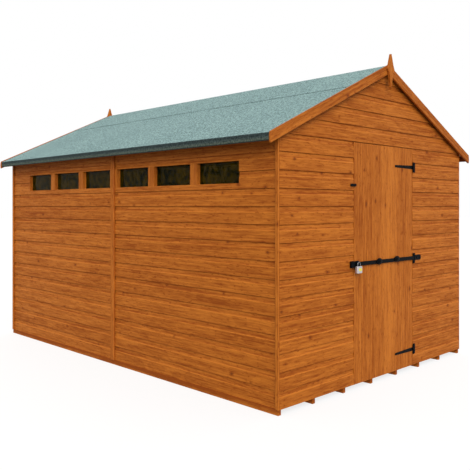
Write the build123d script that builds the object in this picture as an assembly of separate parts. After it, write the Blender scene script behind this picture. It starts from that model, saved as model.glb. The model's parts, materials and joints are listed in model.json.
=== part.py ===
from build123d import *
import os
from math import cos, radians, sin, sqrt, tan

# A timber apex shed, in millimetres. The origin is on the ground at the middle of the building,
# +Z is up, the front gable with the door faces -Y and the wall with the windows faces -X.

# Overall sizes
WIDTH = 2440.0              # across the corner strips
LENGTH = 3680.0             # over the cladding of the two gables
PITCH = 24.75               # slope of the roof in degrees
OVERHANG_END = 22.0         # roof boards past the gable cladding
OVERHANG_EAVES = 104.0      # face of the felt skirt past the corner strips
JOINT = 0.3                 # gap between pieces that are nailed to each other
MOVING_GAP = 5.0            # gap round what opens

# Timber sections
CLADDING = 12.0
COURSE = 116.0              # height that one shiplap board covers
STRIP_WIDTH = 28.0
STRIP_THICKNESS = 12.0
JOINT_STRIP_WIDTH = 50.0
STUD_WIDTH = 28.0
STUD_DEPTH = 44.0

# Floor
BEARER_WIDTH = 28.0
BEARER_HEIGHT = 37.0
BEARER_COUNT = 8
BEARER_INSET = 6.0          # outer bearers in from the faces of the corner strips
BEARER_SETBACK = 8.0        # bearer ends in from the gable cladding
FLOOR_BOARD = 12.0

# Roof
ROOF_BOARD = 12.0
FELT = 2.5
RIDGE_FELT_REACH = 543.0    # down each slope
EAVES_BOARD_THICKNESS = 16.0
SKIRT_HEIGHT = 52.0
PURLIN_WIDTH = 28.0
PURLIN_DEPTH = 44.0
RAFTER_DEPTH = 70.0
PURLIN_SPACING = 480.0      # along the slope

# Bargeboards and finials
BARGE_PLUMB = 71.0          # height of a bargeboard measured plumb
BARGE_THICKNESS = 16.0
BARGE_RISE = 3.0            # bargeboard above the felt
BARGE_REACH = 113.0         # ends past the corner strips
BARGE_END_BOW = 5.0         # how far the sawn ends swell
FINIAL_THICKNESS = 18.0
FINIAL_HEIGHT = 250.0
FINIAL_TIP_ABOVE_PEAK = 76.0
FINIAL_TIP_WIDTH = 12.0
FINIAL_NECK_WIDTH = 60.0
FINIAL_NECK_DROP = 82.0     # neck below the tip
FINIAL_SHOULDER_WIDTH = 94.0
FINIAL_SHOULDER_DROP = 117.0
FINIAL_WAIST_WIDTH = 52.0
FINIAL_WAIST_DROP = 146.0
FINIAL_POINT_WIDTH = 8.0

# Windows in the left wall
WINDOW_WIDTH = 428.0
WINDOW_HEIGHT = 150.5
WINDOW_DROP = 187.0         # window heads below the top of the wall
WINDOW_ROW_START = 50.0     # from the joint of the panels to the nearest window
MULLION = 73.0
WINDOW_COUNT = 3            # in each panel
GLASS = 3.0
GLASS_SETBACK = 33.0        # glass behind the face of the cladding
BEAD = 12.0

# Door
DOOR_WIDTH = 808.4
DOOR_COURSES = 15           # the door head lines up with this course
LEDGE_WIDTH = 95.0
LEDGE_THICKNESS = 28.0
LEDGE_END_GAP = 22.0        # ledge ends in from the door's edges
BRACE_WIDTH = 70.0

# Hinges
LOWER_HINGE_INSET = 129.0   # middle of the hinge above the door's bottom edge
UPPER_HINGE_INSET = 147.0   # middle of the hinge below the door's top edge
HINGE_PLATE_HEIGHT = 82.0
HINGE_PLATE_WIDTH = 30.0
HINGE_STRAP_LENGTH = 268.0
HINGE_STRAP_ROOT = 29.0
HINGE_STRAP_TIP = 18.0
HINGE_METAL = 3.0
KNUCKLE_RADIUS = 5.5
PIN_RADIUS = 2.6
PIN_CLEARANCE = 0.1
KNUCKLE_GAP = 0.8           # round and between the knuckles
AXIS_PROUD = 6.0            # hinge axis in front of the cladding

# Security bar
BAR_RISE = 4.0              # middle of the bar above the middle of its hinge
BAR_HEIGHT = 29.0
BAR_THICKNESS = 6.0
BAR_STAND_OFF = 8.0         # back of the bar in front of the cladding
BAR_LEFT_REACH = 62.0       # past the door's free edge
LOCK_BOX_WIDTH = 98.0
LOCK_BOX_HEIGHT = 46.0
LOCK_BOX_THICKNESS = 14.0
LOCK_EYE_WIDTH = 9.0
ROSETTE_WIDTH = 80.0
ROSETTE_HEIGHT = 48.0
ROSETTE_THICKNESS = 5.0
ROSETTE_SIDES = 16
ROSETTE_CROWN = 9.0         # raised middle above the plate
ROSETTE_POSITIONS = (-101.0, 144.0)
ROSETTE_RISES = (3.0, 6.0)  # middle of each above the middle of the bar
BRACKET_START = 17.0        # from the hinge axis, clear of the bar as it turns
BRACKET_REACH = 117.0
BRACKET_HEIGHT = 40.0
BRACKET_THICKNESS = 5.0
KEEPER_WIDTH = 46.0
KEEPER_THICKNESS = 3.0

# Padlock
PADLOCK_WIDTH = 60.0
PADLOCK_HEIGHT = 50.0
PADLOCK_THICKNESS = 20.0
PADLOCK_DROP = 14.0         # top of the body below the centre of the bar
PADLOCK_INSET = 24.0        # middle of the padlock in from the lock box's right end
SHACKLE_WIRE = 3.5
SHACKLE_SIDES = 10
SHACKLE_SPAN = 32.0

# Turn button
BUTTON_LENGTH = 74.0
BUTTON_WIDTH = 19.0
BUTTON_THICKNESS = 4.0
BUTTON_DROP = 307.0         # below the door's top edge
BUTTON_PIVOT = 10.0         # pivot in from the door's free edge
BUTTON_TAIL = 8.0           # from the pivot to the short end
BOSS_RADIUS = 8.0
BOSS_LENGTH = 6.0
BUTTON_PIN_RADIUS = 3.0

# Sizes that follow
GROUND = BEARER_HEIGHT      # bottom edge of the cladding
HALF_WIDTH = WIDTH / 2
HALF_LENGTH = LENGTH / 2
SIDE_FACE = HALF_WIDTH - STRIP_THICKNESS
SIDE_BACK = SIDE_FACE - CLADDING
GABLE_BACK = HALF_LENGTH - CLADDING
FLOOR_TOP = BEARER_HEIGHT + FLOOR_BOARD
SLOPE = tan(radians(PITCH))
PLUMB = 1 / cos(radians(PITCH))
ROOF_END = HALF_LENGTH + OVERHANG_END - JOINT
EAVES_FACE = HALF_WIDTH + OVERHANG_EAVES
DOOR_HEAD = GROUND + COURSE * DOOR_COURSES
WALL_TOP = DOOR_HEAD + STUD_WIDTH + JOINT
BOARD_UNDER = WALL_TOP + JOINT + SLOPE * SIDE_FACE
BOARD_TOP = BOARD_UNDER + ROOF_BOARD * PLUMB
FELT_TOP = BOARD_TOP + JOINT + FELT * PLUMB
RIDGE_TOP = FELT_TOP + JOINT + FELT * PLUMB
STRIP_TOP = BOARD_UNDER - SLOPE * HALF_WIDTH - JOINT
DOOR_TOP = DOOR_HEAD - MOVING_GAP
LOWER_HINGE = GROUND + LOWER_HINGE_INSET
UPPER_HINGE = DOOR_TOP - UPPER_HINGE_INSET
MIDDLE_HINGE = (LOWER_HINGE + UPPER_HINGE) / 2
BAR_MIDDLE = MIDDLE_HINGE + BAR_RISE
DOOR_HALF = DOOR_WIDTH / 2
OPENING_HALF = DOOR_HALF + MOVING_GAP
FRONT = -HALF_LENGTH        # face of the front cladding
AXIS_X = DOOR_HALF + MOVING_GAP / 2
AXIS_Y = FRONT - AXIS_PROUD
PLATE_START = AXIS_X + KNUCKLE_RADIUS + KNUCKLE_GAP
PLATE_END = PLATE_START + HINGE_PLATE_WIDTH
FRAME_BACK = GABLE_BACK - STUD_DEPTH

os.makedirs("parts", exist_ok=True)


def box(x0, x1, y0, y1, z0, z1):
    """A block between two corners, given in any order."""
    centre = Vector((x0 + x1) / 2, (y0 + y1) / 2, (z0 + z1) / 2)
    return Pos(centre) * Box(abs(x1 - x0), abs(y1 - y0), abs(z1 - z0))


def across(points, y0, y1):
    """An outline of (x, z) points, carried from y0 to y1."""
    face = Plane.XZ * make_face(Polyline(*points, close=True))
    return Pos(0, max(y0, y1), 0) * extrude(face, abs(y1 - y0))


def roof_z(x, level):
    """Height of a roof plane that meets the middle of the building at the given level."""
    return level - SLOPE * abs(x)


def mirror_x(shape):
    return mirror(shape, about=Plane.YZ)


def mirror_y(shape):
    return mirror(shape, about=Plane.XZ)


def save(node, *solids):
    """Write one piece, or like pieces that stand apart, under the name of the node."""
    shape = solids[0] if len(solids) == 1 else Compound(children=list(solids))
    export_step(shape, f"parts/{node}.step")


# Floor: square bearers from gable to gable with the boards across them. The boards stop behind
# the door, which shuts over their ends.
bearer_end = HALF_LENGTH - BEARER_SETBACK
outer_bearer = HALF_WIDTH - BEARER_INSET - BEARER_WIDTH / 2
bearer_pitch = 2 * outer_bearer / (BEARER_COUNT - 1)
bearers = []
for number in range(BEARER_COUNT):
    x = -outer_bearer + number * bearer_pitch
    x0, x1 = x - BEARER_WIDTH / 2, x + BEARER_WIDTH / 2
    bearers.append(box(x0, x1, -bearer_end, bearer_end, 0, BEARER_HEIGHT))
save("floor_bearers", *bearers)

floor_front = -GABLE_BACK + MOVING_GAP
floor_side = SIDE_BACK - JOINT
save("floor_boards", box(-floor_side, floor_side, floor_front, GABLE_BACK - JOINT, BEARER_HEIGHT, FLOOR_TOP))


# Side walls: two clad panels a side that meet at the middle of the length. The left ones have a
# row of three windows each, cut right through, that starts beside the joint.
def side_panel(sign_x, sign_y):
    y0, y1 = sign_y * JOINT / 2, sign_y * (GABLE_BACK - JOINT)
    return box(sign_x * SIDE_BACK, sign_x * SIDE_FACE, y0, y1, GROUND, WALL_TOP)


def window_centres(sign_y):
    """Middles of the windows of one panel, along the length."""
    first = WINDOW_ROW_START + WINDOW_WIDTH / 2
    return [sign_y * (first + number * (WINDOW_WIDTH + MULLION)) for number in range(WINDOW_COUNT)]


window_top = WALL_TOP - WINDOW_DROP
window_bottom = window_top - WINDOW_HEIGHT
half_window = WINDOW_WIDTH / 2
glass_face = SIDE_FACE - GLASS_SETBACK
for sign_y, place in ((-1, "front"), (1, "back")):
    panel = side_panel(-1, sign_y)
    panes = []
    beads = []
    for y in window_centres(sign_y):
        y0, y1 = y - half_window, y + half_window
        panel -= box(-SIDE_FACE - 1, -SIDE_BACK + 1, y0, y1, window_bottom, window_top)
        panes.append(
            box(
                -glass_face,
                GLASS - glass_face,
                y0 + JOINT,
                y1 - JOINT,
                window_bottom + JOINT,
                window_top - JOINT,
            )
        )
        bead = box(
            GLASS + JOINT - glass_face,
            GLASS + BEAD - glass_face,
            y0 + JOINT,
            y1 - JOINT,
            window_bottom + JOINT,
            window_top - JOINT,
        )
        bead -= box(
            -SIDE_FACE,
            -SIDE_BACK + STUD_DEPTH,
            y0 + BEAD,
            y1 - BEAD,
            window_bottom + BEAD,
            window_top - BEAD,
        )
        beads.append(bead)
    save(f"left_wall_{place}_panel", panel)
    save(f"window_glass_{place}", *panes)
    save(f"window_beads_{place}", *beads)
    save(f"right_wall_{place}_panel", side_panel(1, sign_y))


# Framing of the side walls: plates at floor and roof, upright studs, and on the left a rail under
# and over the windows with a post at each side of them.
frame_outer = SIDE_BACK - JOINT
frame_inner = frame_outer - STUD_DEPTH
frame_end = FRAME_BACK - JOINT
plate_bottom = FLOOR_TOP + STUD_WIDTH
plate_top = WALL_TOP - STUD_WIDTH


def side_member(sign_x, y0, y1, z0, z1):
    return box(sign_x * frame_inner, sign_x * frame_outer, y0, y1, z0, z1)


def side_plates(sign_x):
    return [
        side_member(sign_x, -frame_end, frame_end, FLOOR_TOP, plate_bottom),
        side_member(sign_x, -frame_end, frame_end, plate_top, WALL_TOP),
    ]


def upright(sign_x, y, width, z0, z1):
    return side_member(sign_x, y - width / 2, y + width / 2, z0 + JOINT, z1 - JOINT)


stud_places = []
for sign_y in (-1, 1):
    for share in (0.0, 1 / 3, 2 / 3, 1.0):
        near = STUD_WIDTH / 2 + JOINT
        far = frame_end - STUD_WIDTH / 2
        stud_places.append(sign_y * (near + share * (far - near)))

rail_bottom = window_bottom - STUD_WIDTH
rail_top = window_top + STUD_WIDTH
left_frame = side_plates(-1)
left_frame.append(side_member(-1, -frame_end, frame_end, rail_bottom, window_bottom))
left_frame.append(side_member(-1, -frame_end, frame_end, window_top, rail_top))
for y in stud_places:
    left_frame.append(upright(-1, y, STUD_WIDTH, plate_bottom, rail_bottom))
    left_frame.append(upright(-1, y, STUD_WIDTH, rail_top, plate_top))
for sign_y in (-1, 1):
    centres = window_centres(sign_y)
    for y in centres[:-1]:
        post = y + sign_y * (half_window + MULLION / 2)
        left_frame.append(upright(-1, post, MULLION, window_bottom, window_top))
    row_end = centres[-1] + sign_y * (half_window + STUD_WIDTH / 2)
    left_frame.append(upright(-1, row_end, STUD_WIDTH, window_bottom, window_top))
left_frame.append(upright(-1, 0, 2 * WINDOW_ROW_START, window_bottom, window_top))
save("left_wall_frame", *left_frame)

right_frame = side_plates(1)
for y in stud_places:
    right_frame.append(upright(1, y, STUD_WIDTH, plate_bottom, plate_top))
save("right_wall_frame", *right_frame)

# Gables: the front one is split beside and over the doorway, the back one is whole.
gable_side = SIDE_FACE


def gable_outline(bottom):
    eaves = roof_z(gable_side, BOARD_UNDER) - JOINT
    return [
        (-gable_side, bottom),
        (gable_side, bottom),
        (gable_side, eaves),
        (0, BOARD_UNDER - JOINT),
        (-gable_side, eaves),
    ]


gable_face = -HALF_LENGTH
save("front_wall_left", box(-gable_side, -OPENING_HALF, gable_face, -GABLE_BACK, GROUND, DOOR_HEAD - JOINT))
save("front_wall_right", box(OPENING_HALF, gable_side, gable_face, -GABLE_BACK, GROUND, DOOR_HEAD - JOINT))
save("front_gable", across(gable_outline(DOOR_HEAD), gable_face, -GABLE_BACK))
save("back_wall", across(gable_outline(GROUND), GABLE_BACK, HALF_LENGTH))

# Framing of the gables: plates, studs, a tie rail at the height of the door head, a king stud and
# two rafters. The front one leaves the doorway open between its two door posts.
gable_frame_half = SIDE_BACK - JOINT
tie_bottom = DOOR_HEAD
tie_top = tie_bottom + STUD_WIDTH


def gable_member(sign_y, x0, x1, z0, z1):
    return box(x0, x1, sign_y * (GABLE_BACK - JOINT), sign_y * FRAME_BACK, z0, z1)


def gable_rafter(sign_x, sign_y):
    """A rafter under the roof boards, from the ridge piece to the end of the tie rail."""
    top = BOARD_UNDER - JOINT
    under = top - STUD_WIDTH * PLUMB
    foot = (under - tie_top - JOINT) / SLOPE
    inner = STUD_WIDTH / 2 + JOINT
    outline = [
        (sign_x * inner, roof_z(inner, top)),
        (sign_x * gable_frame_half, roof_z(gable_frame_half, top)),
        (sign_x * gable_frame_half, tie_top + JOINT),
        (sign_x * foot, tie_top + JOINT),
        (sign_x * inner, roof_z(inner, under)),
    ]
    return across(outline, sign_y * (GABLE_BACK - JOINT), sign_y * FRAME_BACK)


def king_stud(sign_y):
    top = roof_z(STUD_WIDTH / 2, BOARD_UNDER) - JOINT
    return gable_member(sign_y, -STUD_WIDTH / 2, STUD_WIDTH / 2, tie_top + JOINT, top)


def gable_top_members(sign_y):
    return [
        gable_member(sign_y, -gable_frame_half, gable_frame_half, tie_bottom, tie_top),
        gable_rafter(-1, sign_y),
        gable_rafter(1, sign_y),
        king_stud(sign_y),
    ]


def gable_studs(sign_y, places):
    return [
        gable_member(
            sign_y, x - STUD_WIDTH / 2, x + STUD_WIDTH / 2, plate_bottom + JOINT, tie_bottom - JOINT
        )
        for x in places
    ]


corner_stud = gable_frame_half - STUD_WIDTH / 2
door_post = OPENING_HALF + STUD_WIDTH / 2
middle_stud = (corner_stud + door_post) / 2
front_frame = gable_top_members(-1)
front_frame += gable_studs(-1, (-corner_stud, -middle_stud, -door_post, door_post, middle_stud, corner_stud))
for sign_x in (-1, 1):
    front_frame.append(
        gable_member(-1, sign_x * OPENING_HALF, sign_x * gable_frame_half, FLOOR_TOP, plate_bottom)
    )
save("front_wall_frame", *front_frame)

back_frame = gable_top_members(1)
back_frame += gable_studs(1, (-corner_stud, -corner_stud / 2, 0, corner_stud / 2, corner_stud))
back_frame.append(gable_member(1, -gable_frame_half, gable_frame_half, FLOOR_TOP, plate_bottom))
save("back_wall_frame", *back_frame)

# Strips nailed over the corners and over the joints between the panels.
corner = box(
    -HALF_WIDTH, -SIDE_FACE - JOINT, -HALF_LENGTH, STRIP_WIDTH - HALF_LENGTH, GROUND, STRIP_TOP
)
save("corner_strips", corner, mirror_x(corner), mirror_y(corner), mirror_x(mirror_y(corner)))
cover = box(
    -HALF_WIDTH, -SIDE_FACE - JOINT, -JOINT_STRIP_WIDTH / 2, JOINT_STRIP_WIDTH / 2, GROUND, STRIP_TOP
)
save("panel_joint_strips", cover, mirror_x(cover))

# Roof boards: one sheet of boards a side, plumb at the ridge and against the eaves boards.
eaves_back = EAVES_FACE - FELT - JOINT - EAVES_BOARD_THICKNESS
ridge_joint = JOINT / 2
board_end = eaves_back - JOINT
roof_sheet = across(
    [
        (-ridge_joint, roof_z(ridge_joint, BOARD_TOP)),
        (-board_end, roof_z(board_end, BOARD_TOP)),
        (-board_end, roof_z(board_end, BOARD_UNDER)),
        (-ridge_joint, roof_z(ridge_joint, BOARD_UNDER)),
    ],
    -ROOF_END,
    ROOF_END,
)
save("roof_boards_left", roof_sheet)
save("roof_boards_right", mirror_x(roof_sheet))

# Eaves boards: upright boards along the ends of the roof boards, with their tops on the slope.
eaves_outer = EAVES_FACE - FELT - JOINT
skirt_bottom = roof_z(EAVES_FACE, FELT_TOP) - SKIRT_HEIGHT
eaves_board = across(
    [
        (-eaves_back, roof_z(eaves_back, BOARD_TOP)),
        (-eaves_outer, roof_z(eaves_outer, BOARD_TOP)),
        (-eaves_outer, skirt_bottom),
        (-eaves_back, skirt_bottom),
    ],
    -ROOF_END,
    ROOF_END,
)
save("eaves_boards", eaves_board, mirror_x(eaves_board))

# Felt: a sheet over each slope, turned down over the eaves board, and a ridge sheet over both.
felt_under = FELT_TOP - FELT * PLUMB
felt_sheet = across(
    [
        (-ridge_joint, roof_z(ridge_joint, FELT_TOP)),
        (-EAVES_FACE, roof_z(EAVES_FACE, FELT_TOP)),
        (-EAVES_FACE, skirt_bottom),
        (FELT - EAVES_FACE, skirt_bottom),
        (FELT - EAVES_FACE, roof_z(EAVES_FACE - FELT, felt_under)),
        (-ridge_joint, roof_z(ridge_joint, felt_under)),
    ],
    -ROOF_END,
    ROOF_END,
)
save("felt_left", felt_sheet)
save("felt_right", mirror_x(felt_sheet))

ridge_reach = RIDGE_FELT_REACH * cos(radians(PITCH))
ridge_under = RIDGE_TOP - FELT * PLUMB
felt_cap = across(
    [
        (0, RIDGE_TOP),
        (ridge_reach, roof_z(ridge_reach, RIDGE_TOP)),
        (ridge_reach, roof_z(ridge_reach, ridge_under)),
        (0, ridge_under),
        (-ridge_reach, roof_z(ridge_reach, ridge_under)),
        (-ridge_reach, roof_z(ridge_reach, RIDGE_TOP)),
    ],
    -ROOF_END,
    ROOF_END,
)
save("felt_ridge", felt_cap)

# Roof framing: a truss in the middle, and between it and the gables a ridge piece and purlins.
truss_half = PURLIN_WIDTH / 2
member_top = BOARD_UNDER - JOINT
rafter_under = member_top - RAFTER_DEPTH * PLUMB
tie_half = frame_outer
tie_under = WALL_TOP + JOINT
tie_over = tie_under + RAFTER_DEPTH
rafter_foot = (rafter_under - tie_over - JOINT) / SLOPE
rafter_tip = (member_top - tie_over - JOINT) / SLOPE
truss = [
    across(
        [
            (-tie_half, tie_under),
            (tie_half, tie_under),
            (tie_half, roof_z(tie_half, member_top)),
            ((member_top - tie_over) / SLOPE, tie_over),
            ((tie_over - member_top) / SLOPE, tie_over),
            (-tie_half, roof_z(tie_half, member_top)),
        ],
        -truss_half,
        truss_half,
    )
]
rafter = across(
    [
        (-ridge_joint, roof_z(ridge_joint, member_top)),
        (-rafter_tip, tie_over + JOINT),
        (-rafter_foot, tie_over + JOINT),
        (-ridge_joint, roof_z(ridge_joint, rafter_under)),
    ],
    -truss_half,
    truss_half,
)
truss += [rafter, mirror_x(rafter)]
save("roof_truss", *truss)

purlin_start = truss_half + JOINT
purlin_end = FRAME_BACK - JOINT


def purlin(distance):
    """A purlin square to the left slope, its middle this far down from the ridge."""
    run, fall = cos(radians(PITCH)), sin(radians(PITCH))
    corners = []
    for along, below in ((-1, 0), (1, 0), (1, 1), (-1, 1)):
        down = distance + along * PURLIN_WIDTH / 2
        deep = below * PURLIN_DEPTH
        corners.append((-(down * run) + deep * fall, member_top - down * fall - deep * run))
    return across(corners, -purlin_end, -purlin_start)


ridge_half = PURLIN_WIDTH / 2
ridge_piece = across(
    [
        (-ridge_half, roof_z(ridge_half, member_top)),
        (0, member_top),
        (ridge_half, roof_z(ridge_half, member_top)),
        (ridge_half, member_top - RAFTER_DEPTH),
        (-ridge_half, member_top - RAFTER_DEPTH),
    ],
    -purlin_end,
    -purlin_start,
)
front_purlins = [ridge_piece]
for distance in (PURLIN_SPACING, 2 * PURLIN_SPACING):
    front_purlins += [purlin(distance), mirror_x(purlin(distance))]
save("roof_purlins", *front_purlins, *[mirror_y(piece) for piece in front_purlins])

# Bargeboards: a pair on each gable, mitred at the peak and sawn plumb with a slight bow at the ends.
barge_top = RIDGE_TOP + BARGE_RISE
barge_end = HALF_WIDTH + BARGE_REACH
barge_face = HALF_LENGTH + OVERHANG_END + BARGE_THICKNESS
end_top = roof_z(barge_end, barge_top)
end_corner = (BARGE_END_BOW - barge_end, end_top + SLOPE * BARGE_END_BOW)
barge_edge = [
    Line((-ridge_joint, roof_z(ridge_joint, barge_top)), end_corner),
    ThreePointArc(
        end_corner,
        (-barge_end, end_top - BARGE_PLUMB / 2),
        (BARGE_END_BOW - barge_end, end_top - BARGE_PLUMB + SLOPE * BARGE_END_BOW),
    ),
    Line(
        (BARGE_END_BOW - barge_end, end_top - BARGE_PLUMB + SLOPE * BARGE_END_BOW),
        (-ridge_joint, roof_z(ridge_joint, barge_top) - BARGE_PLUMB),
    ),
    Line(
        (-ridge_joint, roof_z(ridge_joint, barge_top) - BARGE_PLUMB),
        (-ridge_joint, roof_z(ridge_joint, barge_top)),
    ),
]
barge_outline = Plane.XZ * make_face(Wire(barge_edge))
bargeboard = Pos(0, BARGE_THICKNESS - barge_face, 0) * extrude(barge_outline, BARGE_THICKNESS)
save("front_bargeboards", bargeboard, mirror_x(bargeboard))
save("back_bargeboards", mirror_y(bargeboard), mirror_x(mirror_y(bargeboard)))

# Finials: spear-shaped boards planted over the mitre of the bargeboards.
finial_tip = barge_top + FINIAL_TIP_ABOVE_PEAK
finial_sides = (
    (FINIAL_TIP_WIDTH, 0.0),
    (FINIAL_NECK_WIDTH, FINIAL_NECK_DROP),
    (FINIAL_SHOULDER_WIDTH, FINIAL_SHOULDER_DROP),
    (FINIAL_WAIST_WIDTH, FINIAL_WAIST_DROP),
    (FINIAL_POINT_WIDTH, FINIAL_HEIGHT),
)
right_side = [(width / 2, finial_tip - drop) for width, drop in finial_sides]
left_side = [(-x, z) for x, z in reversed(right_side)]
finial_back = barge_face + JOINT
finial_face = finial_back + FINIAL_THICKNESS
finial = across(right_side + left_side, -finial_face, -finial_back)
save("front_finial", finial)
save("back_finial", mirror_y(finial))

# Door: upright boards level with the cladding, on three ledges with two braces behind.
door_face = -HALF_LENGTH
door_back = door_face + CLADDING
save("door_boards", box(-DOOR_HALF, DOOR_HALF, door_face, door_back, GROUND, DOOR_TOP))

ledge_half = DOOR_HALF - LEDGE_END_GAP
ledge_front = door_back + JOINT
ledge_back = ledge_front + LEDGE_THICKNESS
ledges = []
for middle in (LOWER_HINGE, BAR_MIDDLE, UPPER_HINGE):
    z0, z1 = middle - LEDGE_WIDTH / 2, middle + LEDGE_WIDTH / 2
    ledges.append(box(-ledge_half, ledge_half, ledge_front, ledge_back, z0, z1))
save("door_ledges", *ledges)

# Each brace rises from the hinge edge towards the free edge, with its ends cut level.
braces = []
for lower, upper in ((LOWER_HINGE, BAR_MIDDLE), (BAR_MIDDLE, UPPER_HINGE)):
    z0 = lower + LEDGE_WIDTH / 2 + JOINT
    z1 = upper - LEDGE_WIDTH / 2 - JOINT
    braces.append(
        across(
            [
                (ledge_half, z0),
                (ledge_half - BRACE_WIDTH, z0),
                (-ledge_half, z1),
                (BRACE_WIDTH - ledge_half, z1),
            ],
            ledge_front,
            ledge_back,
        )
    )
save("door_braces", *braces)


# T-hinges: a plate screwed to the wall with two knuckles and the pin, and a tapering strap on the
# door whose one knuckle turns on that pin between them.
def knuckle(z0, z1, bore):
    """A barrel round the hinge axis, bored for the pin when bore is over zero."""
    barrel = Pos(AXIS_X, AXIS_Y, (z0 + z1) / 2) * Cylinder(KNUCKLE_RADIUS, z1 - z0)
    if bore > 0:
        barrel -= Pos(AXIS_X, AXIS_Y, (z0 + z1) / 2) * Cylinder(bore, z1 - z0)
    return barrel


metal_face = FRONT - HINGE_METAL
door_metal_back = FRONT - JOINT
strap_half = HINGE_STRAP_ROOT / 2
socket = strap_half + KNUCKLE_GAP


def hinge_plate(middle):
    half = HINGE_PLATE_HEIGHT / 2
    plate = box(PLATE_START, PLATE_END, metal_face, door_metal_back, middle - half, middle + half)
    for z0, z1 in ((middle - half, middle - socket), (middle + socket, middle + half)):
        plate += knuckle(z0, z1, 0)
        plate += box(AXIS_X, PLATE_START + 1, metal_face, door_metal_back, z0, z1)
    plate += Pos(AXIS_X, AXIS_Y, middle) * Cylinder(PIN_RADIUS, HINGE_PLATE_HEIGHT)
    return plate


def hinge_strap(middle):
    tip_half = HINGE_STRAP_TIP / 2
    length = HINGE_STRAP_LENGTH
    blade = across(
        [
            (AXIS_X, middle - strap_half),
            (AXIS_X, middle + strap_half),
            (AXIS_X - length + tip_half, middle + tip_half),
            (AXIS_X - length + tip_half, middle - tip_half),
        ],
        metal_face,
        door_metal_back,
    )
    tip = Pos(AXIS_X - length + tip_half, (metal_face + door_metal_back) / 2, middle)
    blade += tip * Rot(90, 0, 0) * Cylinder(tip_half, door_metal_back - metal_face)
    blade += knuckle(middle - strap_half, middle + strap_half, 0)
    bore = Pos(AXIS_X, AXIS_Y, middle) * Cylinder(PIN_RADIUS + PIN_CLEARANCE, HINGE_STRAP_ROOT + 2)
    return blade - bore


save("hinge_plates", *[hinge_plate(middle) for middle in (LOWER_HINGE, MIDDLE_HINGE, UPPER_HINGE)])
save("hinge_straps", hinge_strap(LOWER_HINGE), hinge_strap(UPPER_HINGE))

# Security bar: a flat bar across the whole door that is also the strap of the middle hinge. Its
# knuckle turns on the middle pin, two bolted rosettes hold it to the door, and its free end laps
# past the door's edge over a keeper plate on the wall.
bar_back = FRONT - BAR_STAND_OFF
bar_face = bar_back - BAR_THICKNESS
bar_left = -DOOR_HALF - BAR_LEFT_REACH
box_right = bar_left + LOCK_BOX_WIDTH
half_bar = BAR_HEIGHT / 2
bar_right = AXIS_X - KNUCKLE_RADIUS - KNUCKLE_GAP
bar = box(box_right + JOINT, bar_right, bar_face, bar_back, BAR_MIDDLE - half_bar, BAR_MIDDLE + half_bar)
knuckle_top = MIDDLE_HINGE + strap_half
knuckle_bottom = MIDDLE_HINGE - strap_half
bar += knuckle(knuckle_bottom, knuckle_top, 0)
bar += box(bar_right - HINGE_METAL, AXIS_X, bar_face, AXIS_Y, knuckle_bottom, knuckle_top)
bar -= Pos(AXIS_X, AXIS_Y, BAR_MIDDLE) * Cylinder(PIN_RADIUS + PIN_CLEARANCE, HINGE_PLATE_HEIGHT)
save("security_bar", bar)


# Rosettes: oval plates with a raised middle. Behind each a round spacer holds the bar off the door.
def oval(x, z, share):
    """Corners of a rosette's oval outline about x and z, drawn to a share of its size."""
    corners = []
    for number in range(ROSETTE_SIDES):
        turn = radians(360 * (number + 0.5) / ROSETTE_SIDES)
        across_x = share * ROSETTE_WIDTH / 2 * cos(turn)
        corners.append((x + across_x, z + share * ROSETTE_HEIGHT / 2 * sin(turn)))
    return corners


rosettes = []
spacers = []
for x, rise in zip(ROSETTE_POSITIONS, ROSETTE_RISES):
    z = BAR_MIDDLE + rise
    rosette_back = bar_face - JOINT
    rosette_face = rosette_back - ROSETTE_THICKNESS
    rosette = across(oval(x, z, 1.0), rosette_back, rosette_face)
    rosette += across(oval(x, z, 0.7), rosette_face, rosette_face - ROSETTE_CROWN / 2)
    rosette += across(oval(x, z, 0.42), rosette_face - ROSETTE_CROWN / 2, rosette_face - ROSETTE_CROWN)
    rosettes.append(rosette)
    spacer_middle = (bar_back + JOINT + FRONT - JOINT) / 2
    spacer = Rot(90, 0, 0) * Cylinder(half_bar - 2, BAR_STAND_OFF - 2 * JOINT)
    spacers.append(Pos(x, spacer_middle, BAR_MIDDLE) * spacer)
save("bar_rosettes", *rosettes)
save("bar_spacers", *spacers)

# Lock box: a closed iron box with rounded corners on the free end of the bar.
half_box = LOCK_BOX_HEIGHT / 2
box_face = bar_back - LOCK_BOX_THICKNESS
lock_box = box(bar_left, box_right, box_face, bar_back, BAR_MIDDLE - half_box, BAR_MIDDLE + half_box)
lock_box = fillet(lock_box.edges().filter_by(Axis.Y), 4)
save("lock_box", lock_box)

# Wall bracket beyond the middle hinge: it bears on the hinge plate and steps down to the wall.
bracket_start = AXIS_X + BRACKET_START
bracket_end = AXIS_X + BRACKET_REACH
bracket_back = metal_face - JOINT
bracket_face = bracket_back - BRACKET_THICKNESS
bracket_z0 = BAR_MIDDLE - BRACKET_HEIGHT / 2
bracket_z1 = BAR_MIDDLE + BRACKET_HEIGHT / 2
bracket = box(bracket_start, bracket_end, bracket_face, bracket_back, bracket_z0, bracket_z1)
bracket += box(PLATE_END + JOINT, bracket_end, bracket_face, FRONT - JOINT, bracket_z0, bracket_z1)
save("bar_bracket", bracket)

# Keeper plate on the wall behind the lock box.
keeper_right = -OPENING_HALF - JOINT
keeper_left = keeper_right - KEEPER_WIDTH
keeper_face = FRONT - KEEPER_THICKNESS
save(
    "bar_keeper",
    box(keeper_left, keeper_right, keeper_face, FRONT - JOINT, BAR_MIDDLE - half_box, BAR_MIDDLE + half_box),
)

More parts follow.
